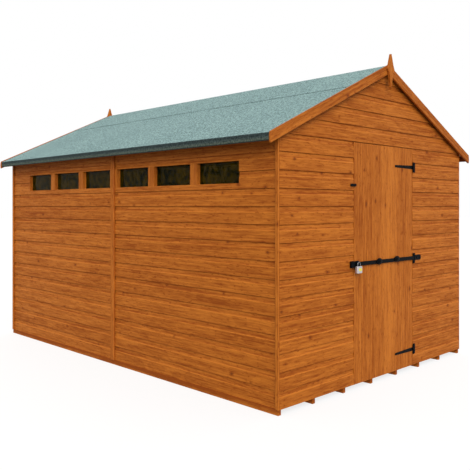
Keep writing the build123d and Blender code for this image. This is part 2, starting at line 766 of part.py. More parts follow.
# Padlock: a rounded body under the lock box, its shackle round an eye on the box's face.
lock_x = box_right - PADLOCK_INSET
lock_y = box_face - JOINT - PADLOCK_THICKNESS / 2
body_top = BAR_MIDDLE - PADLOCK_DROP
padlock = box(
    lock_x - PADLOCK_WIDTH / 2,
    lock_x + PADLOCK_WIDTH / 2,
    lock_y - PADLOCK_THICKNESS / 2,
    lock_y + PADLOCK_THICKNESS / 2,
    body_top - PADLOCK_HEIGHT,
    body_top,
)
padlock = fillet(padlock.edges().filter_by(Axis.Y), 6)
save("padlock_body", padlock)

shackle_half = SHACKLE_SPAN / 2
shackle_foot = body_top + JOINT
shackle_path = (
    Line((lock_x - shackle_half, lock_y, shackle_foot), (lock_x - shackle_half, lock_y, BAR_MIDDLE))
    + ThreePointArc(
        (lock_x - shackle_half, lock_y, BAR_MIDDLE),
        (lock_x, lock_y, BAR_MIDDLE + shackle_half),
        (lock_x + shackle_half, lock_y, BAR_MIDDLE),
    )
    + Line((lock_x + shackle_half, lock_y, BAR_MIDDLE), (lock_x + shackle_half, lock_y, shackle_foot))
)
shackle_start = Plane(origin=(lock_x - shackle_half, lock_y, shackle_foot), z_dir=(0, 0, 1))
save("padlock_shackle", sweep(shackle_start * RegularPolygon(SHACKLE_WIRE, SHACKLE_SIDES), path=shackle_path))

# Eye plate: a post on the face of the lock box that stands inside the shackle.
eye_half = LOCK_EYE_WIDTH / 2
eye_top = BAR_MIDDLE + sqrt((shackle_half - SHACKLE_WIRE) ** 2 - eye_half**2) - JOINT
eye = box(
    lock_x - eye_half,
    lock_x + eye_half,
    lock_y - SHACKLE_WIRE,
    box_face - JOINT,
    body_top + JOINT,
    eye_top,
)
save("lock_eye", eye)

# Turn button: a flat bar that turns on a screw in a boss near the door's free edge, with its long
# end over the wall when it is shut.
pivot_x = BUTTON_PIVOT - DOOR_HALF
pivot_z = DOOR_TOP - BUTTON_DROP
boss_face = FRONT - BOSS_LENGTH
button_back = boss_face - JOINT
button_face = button_back - BUTTON_THICKNESS
boss = Pos(pivot_x, (boss_face + FRONT - JOINT) / 2, pivot_z) * Rot(90, 0, 0) * Cylinder(
    BOSS_RADIUS, BOSS_LENGTH - JOINT
)
button_pin = Pos(pivot_x, (button_face + boss_face) / 2, pivot_z) * Rot(90, 0, 0) * Cylinder(
    BUTTON_PIN_RADIUS, boss_face - button_face
)
save("button_boss", boss + button_pin)

button_right = pivot_x + BUTTON_TAIL
button_left = button_right - BUTTON_LENGTH
button = box(
    button_left,
    button_right,
    button_face,
    button_back,
    pivot_z - BUTTON_WIDTH / 2,
    pivot_z + BUTTON_WIDTH / 2,
)
button = fillet(button.edges().filter_by(Axis.Y), BUTTON_WIDTH / 2 - 1)
button -= Pos(pivot_x, (button_face + button_back) / 2, pivot_z) * Rot(90, 0, 0) * Cylinder(
    BUTTON_PIN_RADIUS + PIN_CLEARANCE, 2 * BUTTON_THICKNESS
)
save("turn_button", button)
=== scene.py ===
import json

import bpy
import numpy as np
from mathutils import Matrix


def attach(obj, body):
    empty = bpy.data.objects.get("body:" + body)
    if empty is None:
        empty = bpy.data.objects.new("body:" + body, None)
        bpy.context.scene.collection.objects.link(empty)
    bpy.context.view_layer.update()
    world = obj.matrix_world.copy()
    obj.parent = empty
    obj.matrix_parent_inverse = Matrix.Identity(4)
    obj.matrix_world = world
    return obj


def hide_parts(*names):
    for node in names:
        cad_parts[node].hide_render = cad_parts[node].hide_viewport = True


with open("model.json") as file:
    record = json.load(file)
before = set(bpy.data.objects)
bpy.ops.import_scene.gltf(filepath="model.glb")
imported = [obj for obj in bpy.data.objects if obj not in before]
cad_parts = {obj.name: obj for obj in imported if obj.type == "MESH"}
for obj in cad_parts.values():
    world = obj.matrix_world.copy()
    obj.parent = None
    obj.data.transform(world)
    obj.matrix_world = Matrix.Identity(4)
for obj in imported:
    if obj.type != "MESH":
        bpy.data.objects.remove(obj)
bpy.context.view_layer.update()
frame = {"nodes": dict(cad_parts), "record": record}

# The studio: the shed stands on a wide pale floor before a white background, in soft light that
# comes mostly from the front left. The camera looks level at its near corner, at chest height.
camera_data = bpy.data.cameras.new("studio_camera")
camera_data.lens = 48.354
camera_data.shift_x = -0.0013
camera_data.shift_y = -0.0616
camera_data.clip_end = 200
camera = bpy.data.objects.new("studio_camera", camera_data)
camera.location = (-4.1770, -4.4558, 1.3149)
camera.rotation_euler = (np.pi / 2, 0, np.radians(-44.632))
bpy.context.scene.collection.objects.link(camera)
bpy.context.scene.camera = camera
bpy.context.scene.view_settings.view_transform = "Standard"


def shader(tree, kind, links=None, **settings):
    """One node of a finish: links give its inputs, by name or place, as sockets or plain values."""
    made = tree.nodes.new("ShaderNode" + kind)
    for name, value in settings.items():
        setattr(made, name, value)
    for place, source in (links or {}).items():
        if isinstance(source, bpy.types.NodeSocket):
            tree.links.new(source, made.inputs[place])
        else:
            made.inputs[place].default_value = source
    return made


finishes = {}


def blank_finish(name):
    """The empty node tree of a new material, which is kept in finishes by its name."""
    made = finishes[name] = bpy.data.materials.new(name)
    made.use_nodes = True
    made.node_tree.nodes.clear()
    return made.node_tree


def sums(tree, operation, *inputs):
    """The result of one step of arithmetic on sockets and plain values."""
    return shader(tree, "Math", dict(enumerate(inputs)), operation=operation).outputs[0]


def seen_by_eye(tree):
    """1 for rays from the camera, and for those that glossy and clear surfaces pass on, 0 for light."""
    path = shader(tree, "LightPath").outputs
    either = sums(tree, "MAXIMUM", path["Is Camera Ray"], path["Is Glossy Ray"])
    return sums(tree, "MAXIMUM", either, path["Is Transmission Ray"])


world = bpy.data.worlds.new("studio_air")
world.use_nodes = True
air = world.node_tree
air.nodes.clear()
LIGHT_COLOUR = (1.0, 0.985, 0.96)
soft_light = shader(air, "Background", {"Color": (*LIGHT_COLOUR, 1), "Strength": 0.60})
white_wall = shader(air, "Background", {"Color": (1, 1, 1, 1), "Strength": 1.0})
air_mix = shader(air, "MixShader", {0: seen_by_eye(air), 1: soft_light.outputs[0], 2: white_wall.outputs[0]})
shader(air, "OutputWorld", {"Surface": air_mix.outputs[0]})
bpy.context.scene.world = world


def lamp(name, towards, strength, spread):
    """A broad even light: it shines along the direction given, softened over the angle of spread."""
    data = bpy.data.lights.new(name, "SUN")
    data.energy = strength
    data.angle = np.radians(spread)
    data.color = LIGHT_COLOUR
    made = bpy.data.objects.new(name, data)
    x, y, z = np.asarray(towards, float) / np.linalg.norm(towards)
    made.rotation_euler = (np.arccos(-z), 0, np.arctan2(y, x) - np.pi / 2)
    bpy.context.scene.collection.objects.link(made)


lamp("key_light", (0.54, 0.69, -0.48), 2.72, 50)
lamp("fill_light", (-0.7, -0.5, -0.5), 0.7, 90)

floor_mesh = bpy.data.meshes.new("studio_floor")
floor_mesh.from_pydata([(-60, -60, 0), (60, -60, 0), (60, 60, 0), (-60, 60, 0)], [], [(0, 1, 2, 3)])
floor = bpy.data.objects.new("studio_floor", floor_mesh)
bpy.context.scene.collection.objects.link(floor)
ground = blank_finish("studio_floor")
ground_glow = shader(ground, "Emission", {"Color": (0.76, 0.76, 0.76, 1), "Strength": seen_by_eye(ground)})
ground_matt = shader(ground, "BsdfDiffuse", {"Color": (0.26, 0.26, 0.26, 1)})
ground_sum = shader(ground, "AddShader", {0: ground_glow.outputs[0], 1: ground_matt.outputs[0]})
shader(ground, "OutputMaterial", {"Surface": ground_sum.outputs[0]})
floor_mesh.materials.append(finishes["studio_floor"])

# Bearers: eight square lengths of softwood, dipped in an orange-brown preservative, that run from
# gable to gable under the floor and carry the whole shed.
WALL_BOTTOM = 0.037         # top of the bearers, and lower edge of the boarding
heart = np.random.default_rng(8).uniform(-1, 1, (997, 5))
X, Y, Z = np.eye(3)


def outward(rings):
    """Row i of rings is an outline of k corners at each of s stations. An outline that runs the wrong
    way round its direction of travel is turned, so that every face looks outwards."""
    rings = np.array(rings, float)
    travel = rings[:, -1].mean(1) - rings[:, 0].mean(1)
    spoke = rings.mean(1) - rings.mean((1, 2))[:, None]
    turn = np.cross(spoke, np.roll(spoke, -1, 1)).sum(1)
    wrong = (turn * travel).sum(1) < 0
    rings[wrong] = rings[wrong][:, :, ::-1]
    return rings


def skin(rings):
    """Corners and faces of closed solids: outlines joined corner to corner, both ends closed flat."""
    count, stations, corners, _ = rings.shape
    start = (np.arange(count) * stations * corners)[:, None]
    place = np.arange(corners)
    here = start[:, None] + (np.arange(stations - 1) * corners)[:, None] + place
    beside = here - place + np.roll(place, -1)
    sides = np.stack([here, beside, beside + corners, here + corners], -1).reshape(-1, 4)
    last = start + (stations - 1) * corners + place
    return rings.reshape(-1, 3), [sides, start + place[::-1], last]


def lengths(rings, level, number, middle=None):
    """Closed lengths of timber. Grain is where a corner lies in its length: along it, across it (level)
    and through it, from a heart line that random number i moves off its middle and tips a little.
    Tone is one number for each length."""
    rings = outward(rings)
    count = len(rings)
    travel = rings[:, -1].mean(1) - rings[:, 0].mean(1)
    travel /= np.linalg.norm(travel, axis=1, keepdims=True)
    middle = rings.mean((1, 2)) if middle is None else np.broadcast_to(middle, (count, 3))
    level = np.broadcast_to(level, (count, 3))
    axes = np.stack([travel, level, np.cross(travel, level)], 1)
    grain = np.einsum("nskc,nac->nska", rings - middle[:, None, None], axes)
    chance = heart[np.asarray(number, int) % len(heart)][:, None, None]
    along = grain[..., 0].copy()
    grain[..., 0] += 30 * chance[..., 0]
    grain[..., 1] += 0.07 * chance[..., 1] + 0.008 * chance[..., 4] * along
    grain[..., 2] += 0.055 + 0.035 * chance[..., 2] + 0.006 * chance[..., 1] * along
    tone = np.broadcast_to(chance[..., 3], grain.shape[:-1])
    points, faces = skin(rings)
    return points, faces, grain.reshape(-1, 3), tone.ravel()


def battens(start, end, level, width, thickness, number, arris=0.0012, first_cut=None, last_cut=None):
    """Straight lengths of rectangular section from start to end: width is measured along level and
    thickness square to it, the four arrises are planed off at 45 degrees, and every corner of an
    end slides along the length into the plane of its cut, whose normal is given."""
    rows = [np.atleast_2d(np.asarray(row, float)) for row in (start, end, level)]
    start, end, level = np.broadcast_arrays(*rows)
    count = len(start)
    run = end - start
    run = run / np.linalg.norm(run, axis=1, keepdims=True)
    through = np.cross(run, level)
    half = np.broadcast_to(width, (count,))[:, None] / 2
    deep = np.broadcast_to(thickness, (count,))[:, None] / 2
    u = np.array([-1, 1, 1, 1, 1, -1, -1, -1]) * half + np.array([1, -1, 0, 0, -1, 1, 0, 0]) * arris
    v = np.array([-1, -1, -1, 1, 1, 1, 1, -1]) * deep + np.array([0, 0, 1, -1, 0, 0, -1, 1]) * arris
    section = u[..., None] * level[:, None] + v[..., None] * through[:, None]
    rings = np.stack([start[:, None] + section, end[:, None] + section], 1)
    for station, cut in ((0, first_cut), (1, last_cut)):
        cut = run if cut is None else np.broadcast_to(cut, (count, 3))
        off = np.einsum("nkc,nc->nk", section, cut) / (run * cut).sum(1)[:, None]
        rings[:, station] -= off[..., None] * run[:, None]
    return lengths(rings, level, np.broadcast_to(number, (count,)))


def put_up(name, mesh, body, slot, nodes):
    """Puts a piece's mesh in the scene with its finish. Faces that meet at less than 35 degrees are
    shaded as one."""
    mesh.materials.append(finishes[slot])
    mesh.polygons.foreach_set("use_smooth", np.ones(len(mesh.polygons), bool))
    mesh.set_sharp_from_angle(angle=np.radians(35))
    made = bpy.data.objects.new(name, mesh)
    bpy.context.scene.collection.objects.link(made)
    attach(made, body)
    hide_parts(*nodes)


def piece(name, body, slot, nodes, *groups):
    """One piece made of groups of solids. Its finish reads grain and tone at every corner."""
    points, faces, base = [], [], 0
    for corners, polygons, _, _ in groups:
        points.append(corners)
        for polygon in polygons:
            faces += (polygon + base).tolist()
        base += len(corners)
    mesh = bpy.data.meshes.new(name)
    mesh.from_pydata(np.concatenate(points), [], faces)
    grain = mesh.attributes.new("grain", "FLOAT_VECTOR", "POINT")
    grain.data.foreach_set("vector", np.concatenate([g[2] for g in groups]).ravel().astype(np.float32))
    tone = mesh.attributes.new("tone", "FLOAT", "POINT")
    tone.data.foreach_set("value", np.concatenate([g[3] for g in groups]).astype(np.float32))
    put_up(name, mesh, body, slot, nodes)


def blended(tree, share, first, second, **settings):
    """The first colour at a share of 0, the second at 1."""
    colours = {"Factor": share, 6: first, 7: second}
    return shader(tree, "Mix", colours, data_type="RGBA", **settings).outputs[2]


def rescaled(tree, value, *ends):
    """A value that lies between the first two ends, carried to between the last two, or to 0 and 1."""
    return shader(tree, "MapRange", {"Value": value, **dict(enumerate(ends, 1))}).outputs[0]


def surface(tree, **look):
    """Ends a finish with a surface of this look. An underscore stands for a space in an input's name."""
    links = {name.replace("_", " "): value for name, value in look.items()}
    shader(tree, "OutputMaterial", {"Surface": shader(tree, "BsdfPrincipled", links).outputs[0]})


def sawn_softwood(name, pale, deep, knot, roughness):
    """Softwood read from grain and tone: growth rings round the heart line, drawn out streaks, broad
    changes of colour along a board, a few knots that push the rings aside, and fine fibres."""
    tree = blank_finish(name)
    grain = shader(tree, "Attribute", attribute_name="grain").outputs["Vector"]
    tone = shader(tree, "Attribute", attribute_name="tone").outputs["Fac"]

    def drawn_out(scale, detail, rough=0.55):
        """Noise over the grain coordinates, each stretched by its own scale."""
        stretched = shader(tree, "VectorMath", {0: grain, 1: scale}, operation="MULTIPLY")
        links = {"Vector": stretched.outputs[0], "Scale": 1.0, "Detail": detail, "Roughness": rough}
        return shader(tree, "TexNoise", links).outputs["Fac"]

    def spread(value, low, high, to_low=0.0, to_high=1.0):
        links = {"Value": value, 1: low, 2: high, 3: to_low, 4: to_high}
        return shader(tree, "MapRange", links, interpolation_type="SMOOTHSTEP").outputs[0]

    wander = shader(tree, "TexNoise", {"Vector": grain, "Scale": 9.0, "Detail": 1.0}).outputs["Color"]
    bent = shader(tree, "VectorMath", {0: wander, 1: (0.05, 0.02, 0.0), 2: grain}, operation="MULTIPLY_ADD")
    bent = shader(tree, "VectorMath", {0: bent.outputs[0], 1: (0.7, 1.0, 1.0)}, operation="MULTIPLY")
    cells = shader(tree, "TexVoronoi", {"Vector": bent.outputs[0], "Scale": 4.4}, voronoi_dimensions="2D")
    lot = shader(tree, "SeparateColor", {0: cells.outputs["Color"]}).outputs["Red"]
    near = sums(tree, "SUBTRACT", cells.outputs["Distance"], spread(lot, 0.30, 1.0, 0.006, 0.034))
    knotted = sums(tree, "MULTIPLY", spread(near, 0.010, -0.008, 0.0, 0.8), spread(lot, 0.28, 0.34))
    round_knot = sums(tree, "MULTIPLY", spread(near, 0.065, 0.0), spread(lot, 0.28, 0.50))

    rings = {"Vector": grain, "Scale": 80.0, "Distortion": 8.0, "Detail": 2.0, "Detail Scale": 0.035}
    rings["Phase Offset"] = sums(tree, "MULTIPLY", round_knot, 9.0)
    rings = shader(tree, "TexWave", rings, wave_type="RINGS", rings_direction="X", wave_profile="SAW")
    late = spread(rings.outputs["Fac"], 0.40, 1.0)
    fibres = drawn_out((12.0, 520.0, 520.0), 2.0, 0.7)
    depth = sums(tree, "MULTIPLY", late, 0.17)
    shares = (
        (drawn_out((2.2, 62.0, 62.0), 2.5), 1.5),
        (drawn_out((1.6, 12.0, 12.0), 3.0), 0.65),
        (drawn_out((11.0, 120.0, 120.0), 2.0), 1.35),
        (spread(drawn_out((30.0, 110.0, 110.0), 1.0), 0.60, 0.74), 0.55),
        (fibres, 0.35),
        (round_knot, 0.40),
        (tone, -0.10),
    )
    for part, share in shares:
        depth = sums(tree, "MULTIPLY_ADD", part, share, depth)
    depth = rescaled(tree, depth, 1.56, 2.50)
    colour = blended(tree, knotted, blended(tree, depth, (*pale, 1), (*deep, 1)), (*knot, 1))
    height = sums(tree, "MULTIPLY_ADD", fibres, 0.8, sums(tree, "MULTIPLY", late, -0.35))
    bump = shader(tree, "Bump", {"Height": height, "Strength": 0.45, "Distance": 0.0006}).outputs[0]
    matt = spread(depth, 0.0, 1.0, roughness - 0.08, roughness + 0.08)
    surface(tree, Base_Color=colour, Roughness=matt, Normal=bump, Specular_IOR_Level=0.12)


def tone_shifted(timber, shade):
    """The same lengths with their tone shifted, one for all or one for each corner; used for painted shade
    and highlights and for own colour.
    """
    points, polygons, grain, tone = timber
    return points, polygons, grain, tone + shade


sawn_softwood("dipped_timber", (0.535, 0.163, 0.0185), (0.265, 0.058, 0.0052), (0.16, 0.038, 0.007), 0.64)
bearer_x = np.linspace(-1.200, 1.200, 8)
bearer_line = bearer_x[:, None] * X + WALL_BOTTOM / 2 * Z
bearers = battens(bearer_line - 1.832 * Y, bearer_line + 1.832 * Y, X, 0.028, WALL_BOTTOM, np.arange(8))
# Painted shade: the upper part of each bearer, where it meets the boards, is coloured darker.
painted_shade_top = -9.0 * (bearers[0][:, 2] > 0.03)
piece("bearers", "shed", "dipped_timber", ["floor_bearers"], tone_shifted(bearers, painted_shade_top))

# Floor: planed softwood boards laid across the bearers, edge to edge, nailed down, and stopped
# behind the door.
SIDE_INSIDE, END_INSIDE = 1.1957, 1.8277    # inner faces of the side walls' and the gables' boards
BOARD = 0.012               # thickness of the boards
CLEAR = 0.0003              # gap that pieces keep from each other
floor_edge = np.linspace(-1.823, END_INSIDE, 32)
board_y = (floor_edge[1:] + floor_edge[:-1]) / 2
board_line = board_y[:, None] * Y + 0.043 * Z
board_ends = board_line - SIDE_INSIDE * X, board_line + SIDE_INSIDE * X
width = floor_edge[1] - floor_edge[0] - CLEAR
floor_boards = battens(*board_ends, Y, width, BOARD, 20 + np.arange(31), arris=0.0008)
piece("floor_deck", "shed", "dipped_timber", ["floor_boards"], floor_boards)

# Wall frames: sawn studs, plates and rails under the cladding, butt-jointed and nailed. On the left
# a rail runs under and over the windows with a wide post between each two; each gable has a tie
# rail at the height of the door head, with a pair of rafters and a king stud on it.
PITCH = np.radians(24.75)
SLOPE = np.tan(PITCH)
WALL_TOP = 1.8053
DOOR_OPENING = 0.4092       # half the width of the opening
STUD = 0.028                # width of the studs, and height of the plates and rails
SIDE_DEPTH, END_DEPTH = 0.044, 0.0437       # how deep the side frames and the gable frames are
SILL_HEIGHT, STUD_FOOT = 0.063, 0.0773
SILL_TOP, HEAD_UNDER = 1.4681, 1.6180       # of the rails under and over the windows
BESIDE_MIDDLE = STUD / 2 + CLEAR
side_x = 1.1737
frame_end = 1.7837
stud_y = np.outer([1, -1], np.linspace(BESIDE_MIDDLE, 1.7697, 4)).ravel()


def along_wall(side, heights, number):
    """Plates and rails of a side wall, at these heights of their middles."""
    line = side * side_x * X + np.asarray(heights)[:, None] * Z
    numbers = number + np.arange(len(heights))
    return battens(line - frame_end * Y, line + frame_end * Y, Z, STUD, SIDE_DEPTH, numbers, 0.001)


def studs(side, places, low, high, number, width=STUD):
    """Studs of a side wall at these places along it, from one height to another."""
    line = side * side_x * X + np.asarray(places)[:, None] * Y
    numbers = number + np.arange(len(places))
    return battens(line + low * Z, line + high * Z, Y, width, SIDE_DEPTH, numbers, 0.001)


left_frame = [
    along_wall(-1, (SILL_HEIGHT, 1.4538, 1.6323, 1.7913), 600),
    studs(-1, stud_y, STUD_FOOT, 1.4395, 610),
    studs(-1, stud_y, 1.6466, 1.7770, 620),
    studs(-1, (-1.494, 1.494), SILL_TOP, HEAD_UNDER, 630),
    studs(-1, (-1.0155, -0.5145, 0.5145, 1.0155), SILL_TOP, HEAD_UNDER, 634, 0.073),
    studs(-1, (0.0,), SILL_TOP, HEAD_UNDER, 640, 0.100),
]
piece("left_frame", "shed", "dipped_timber", ["left_wall_frame"], *left_frame)
right_frame = [along_wall(1, (SILL_HEIGHT, 1.7913), 650), studs(1, stud_y, STUD_FOOT, 1.7770, 655)]
piece("right_frame", "shed", "dipped_timber", ["right_wall_frame"], *right_frame)


def shaped_board(outline, y0, y1, arris, number, level):
    """A board or plate cut to an outline in x and z, from y0 to y1. The outline is drawn in by the
    arris at both faces, which takes off its edges. Its grain runs square to level."""
    outline = np.asarray(outline, float)
    before, after = np.roll(outline, 1, 0), np.roll(outline, -1, 0)
    edge_in, edge_out = outline - before, after - outline
    edge_in /= np.linalg.norm(edge_in, axis=1, keepdims=True)
    edge_out /= np.linalg.norm(edge_out, axis=1, keepdims=True)
    area = np.cross(outline, after).sum()
    normal = np.stack([edge_in[:, 1] + edge_out[:, 1], -edge_in[:, 0] - edge_out[:, 0]], -1)
    normal *= np.sign(area) / np.maximum(1 + (edge_in * edge_out).sum(1), 0.35)[:, None]
    small = outline - arris * normal
    rings = np.zeros((1, 4, len(outline), 3))
    rings[0, ..., ::2] = small, outline, outline, small
    arris *= np.sign(y1 - y0)
    rings[0, ..., 1] = np.array([y0, y0 + arris, y1 - arris, y1])[:, None]
    points, polygons, _, tone = lengths(rings, Z, [number])
    local = points - points.mean(0)
    along = local @ np.cross(level, Y)
    chance = heart[number]
    across = local @ level + 0.06 * chance[1] + 0.008 * chance[4] * along
    through = local @ Y + 0.055 + 0.03 * chance[2]
    return points, polygons, np.stack([along + 30 * chance[0], across, through], -1), tone


def slope_axes(side):
    """Down a roof slope, and square out of it."""
    down = np.array([side * np.cos(PITCH), 0, -np.sin(PITCH)])
    return down, np.array([side * np.sin(PITCH), 0, np.cos(PITCH)])


def slope_pair(outline, y0, y1, arris, number):
    """Two boards that mirror each other, one up each slope."""
    return [
        shaped_board(np.multiply(outline, (side, 1)), y0, y1, arris, number + side, slope_axes(side)[1])
        for side in (-1, 1)
    ]


RAFTER_TOP = 2.3621956                  # where the tops of the rafters would meet
EAVES_CUT = SIDE_INSIDE, 1.8109640      # where the top of a rafter or of the tie meets the boards
rafter = [
    (BESIDE_MIDDLE, 2.3556032), EAVES_CUT, (SIDE_INSIDE, WALL_TOP), (1.14111, WALL_TOP),
    (BESIDE_MIDDLE, 2.3247707),
]
end_stud = SIDE_INSIDE - STUD / 2
front_studs = np.outer([1, -1], (DOOR_OPENING + STUD / 2, 0.80245, end_stud)).ravel()
back_studs = np.linspace(-end_stud, end_stud, 5)
front_sills = [[-SIDE_INSIDE, -DOOR_OPENING], [DOOR_OPENING, SIDE_INSIDE]]
back_sill = [[-SIDE_INSIDE, SIDE_INSIDE]]
for gable, end, stud_x, sills in (
    ("front", -1, front_studs, front_sills),
    ("back", 1, back_studs, back_sill),
):
    middle = end * 1.80585 * Y
    first = 680 + 30 * (end > 0)
    line = middle + stud_x[:, None] * X
    sill_start, sill_end = middle + SILL_HEIGHT * Z + np.transpose(sills)[..., None] * X
    tie_rail = middle + 1.791 * Z
    half_tie = SIDE_INSIDE * X
    numbers = first + np.arange(len(stud_x))
    groups = [
        battens(line + STUD_FOOT * Z, line + 1.7767 * Z, X, STUD, END_DEPTH, numbers, 0.001),
        battens(sill_start, sill_end, Z, STUD, END_DEPTH, first + 10, 0.001),
        battens(tie_rail - half_tie, tie_rail + half_tie, Z, STUD, END_DEPTH, first + 11, 0.001),
        battens(middle + WALL_TOP * Z, middle + 2.3557 * Z, X, STUD, END_DEPTH, first + 12, 0.001),
        *slope_pair(rafter, end * 1.784, end * END_INSIDE, 0.001, first + 14),
    ]
    piece(f"{gable}_frame", "shed", "dipped_timber", [f"{gable}_wall_frame"], *groups)

# Side walls: shiplap boards nailed to the frames one above the other. Each has a square lower lip
# that hangs over the hollow top edge of the board below. On the left the boards are cut round a row
# of windows, with flat upright boards between them.
COVER, FULL = 0.116, 0.125              # height that one board covers, and its full height
SIDE_FACE, GABLE_FACE = 1.208, 1.840
BOARDS_UNDER = 2.3624956                # underside of the roof boards at the ridge
WINDOW_BOTTOM, WINDOW_TOP = SILL_TOP - CLEAR, HEAD_UNDER + CLEAR
JOINT = CLEAR / 2


def shiplap(low=0.0, high=FULL):
    """Outline of a shiplap board ripped between two heights, as (depth behind its face, height above
    its lower edge). The hollow is a quarter of an ellipse, 7.2 mm deep and 39 mm high, that curls
    from the face back to the tongue, and the lip is rebated to hang in front of a tongue."""
    curl = np.radians(np.linspace(84, 0, 8))
    hollow_up = COVER - 0.0390 * np.sin(curl)
    face_up = np.concatenate([[0, 0.0011, 0.0283, 0.0715, 0.0770], hollow_up, [FULL]])
    face_in = np.concatenate([[0.0011, 0, 0, 0, 0], 0.0072 * np.cos(curl), [0.0072]])
    back_up = np.array([0, 0.0100, 0.0101, FULL])
    back_in = np.array([0.0058, 0.0058, BOARD, BOARD])
    edges = []
    for up, inwards in ((face_up, face_in), (back_up, back_in)):
        kept = np.concatenate([[low], up[(up > low) & (up < high)], [high]])
        edges.append(np.stack([np.interp(kept, up, inwards), kept], -1))
    return np.concatenate([edges[0], edges[1][::-1]])


def hollow_light_and_shade(board, depth):
    """Painted light and shade, by height and by depth behind the face: a painted highlight where the
    hollow curls off the face, and painted shade further in and under the lip."""
    height = (board[0][:, 2] - WALL_BOTTOM + CLEAR) % COVER
    # The first mask is a painted highlight on the arris; the other two are painted shade in the hollow and
    # under the lip.
    painted_highlight = (depth < 0.0030) & (np.abs(height - 0.0783) < 0.0015)
    hollow = (depth > 0.0030) & (depth < 0.0060) & (height > 0.0800)
    kept = (depth > 0.0071) & (depth < 0.0100) | (depth > 0.0005) & (height < 0.0006)
    return tone_shifted(board, 3.6 * painted_highlight - 1.5 * hollow - 3.5 * kept)


def boarding(along, side, start, end, courses, number, low=0.0, high=FULL):
    """Shiplap from start to end, one board a course: along x on the gable at y = side * 1.840, where
    each corner of an end stops 0.3 mm below the roof boards, or along y on the side wall at
    x = side * 1.208. Along is 0 or 1, and low and high are where each board is ripped."""
    section = shiplap(low, high)
    courses = np.atleast_1d(courses)
    face = (GABLE_FACE, SIDE_FACE)[along]
    rings = np.zeros((len(courses), 2, len(section), 3))
    rings[..., 1 - along] = side * (face - section[:, 0])
    rings[..., 2] = (WALL_BOTTOM + COVER * courses)[:, None, None] + section[:, 1]
    reach = END_INSIDE if along else (BOARDS_UNDER - CLEAR - rings[:, 0, :, 2]) / SLOPE
    rings[:, 0, :, along] = np.clip(start, -reach, reach)
    rings[:, 1, :, along] = np.clip(end, -reach, reach)
    middle = np.zeros((len(courses), 3))
    middle[:, 2] = WALL_BOTTOM + COVER * (courses + 0.5)
    boards = lengths(rings, Z, number + courses, middle)
    return hollow_light_and_shade(boards, face - np.abs(boards[0][:, 1 - along]))


# Edges of the windows and of the upright boards, from the joint between the panels.
window_edges = np.array([[0.050, 0.478], [0.551, 0.979], [1.052, 1.480]])
uprights = np.stack([[JOINT, *window_edges[:-1, 1]], window_edges[:, 0]], -1)
for place, toward in (("front", -1), ("back", 1)):
    for side, wall, first in ((-1, "left", 100), (1, "right", 200)):
        first += 50 * (toward > 0)
        near, row_end, far = toward * JOINT, toward * window_edges[-1, 1], toward * END_INSIDE
        whole = [*range(12), 14] if side < 0 else np.arange(15)
        groups = [
            boarding(1, side, near, far, whole, first),
            boarding(1, side, near, far, 15, first, 0.0, WALL_TOP - WALL_BOTTOM - 15 * COVER),
        ]
        if side < 0:
            sill = WINDOW_BOTTOM - WALL_BOTTOM - 12 * COVER
            head = WINDOW_TOP - WALL_BOTTOM - 13 * COVER
            line = toward * uprights.mean(1)[:, None] * Y - (SIDE_FACE - BOARD / 2) * X
            width = uprights[:, 1] - uprights[:, 0] - 0.0001
            number = first + 30 + np.arange(3)
            groups += [
                boarding(1, side, near, row_end, 12, first, 0.0, sill),
                boarding(1, side, near, row_end, 13, first, head),
                boarding(1, side, row_end, far, [12, 13], first),
                battens(line + WINDOW_BOTTOM * Z, line + WINDOW_TOP * Z, Y, width, BOARD, number, 0.0006),
            ]
        name = f"{wall}_shiplap_{place}"
        piece(name, "shed", "dipped_timber", [f"{wall}_wall_{place}_panel"], *groups)

# Gables: the same shiplap at the same heights, in short lengths beside the door, and with its ends
# cut to the slope of the roof above it.
DOOR_HEAD = 1.777
gable_kink = BOARDS_UNDER - CLEAR - SLOPE * SIDE_FACE - DOOR_HEAD
peak_left = BOARDS_UNDER - 0.0008 - WALL_BOTTOM - 19 * COVER


def gable_top(side, number):
    """The five courses above the door head: the lowest is square up to the eaves and sloped above."""
    rips = (15, 0.0, gable_kink), (15, gable_kink, FULL), (range(16, 19), 0.0, FULL), (19, 0.0, peak_left)
    return [boarding(0, side, -SIDE_FACE, SIDE_FACE, which, number, *rip) for which, *rip in rips]


head_rip = 0.1157           # the last course beside the door stops level with its head
beside_door = (("left", -SIDE_FACE, -DOOR_OPENING, 300), ("right", DOOR_OPENING, SIDE_FACE, 330))
for place, start, end, number in beside_door:
    groups = [
        boarding(0, -1, start, end, np.arange(14), number),
        boarding(0, -1, start, end, 14, number, 0.0, head_rip),
    ]
    piece(f"front_shiplap_{place}", "shed", "dipped_timber", [f"front_wall_{place}"], *groups)
piece("front_shiplap_top", "shed", "dipped_timber", ["front_gable"], *gable_top(-1, 360))
lower_back = boarding(0, 1, -SIDE_FACE, SIDE_FACE, np.arange(15), 390)
piece("back_shiplap", "shed", "dipped_timber", ["back_wall"], lower_back, *gable_top(1, 390))

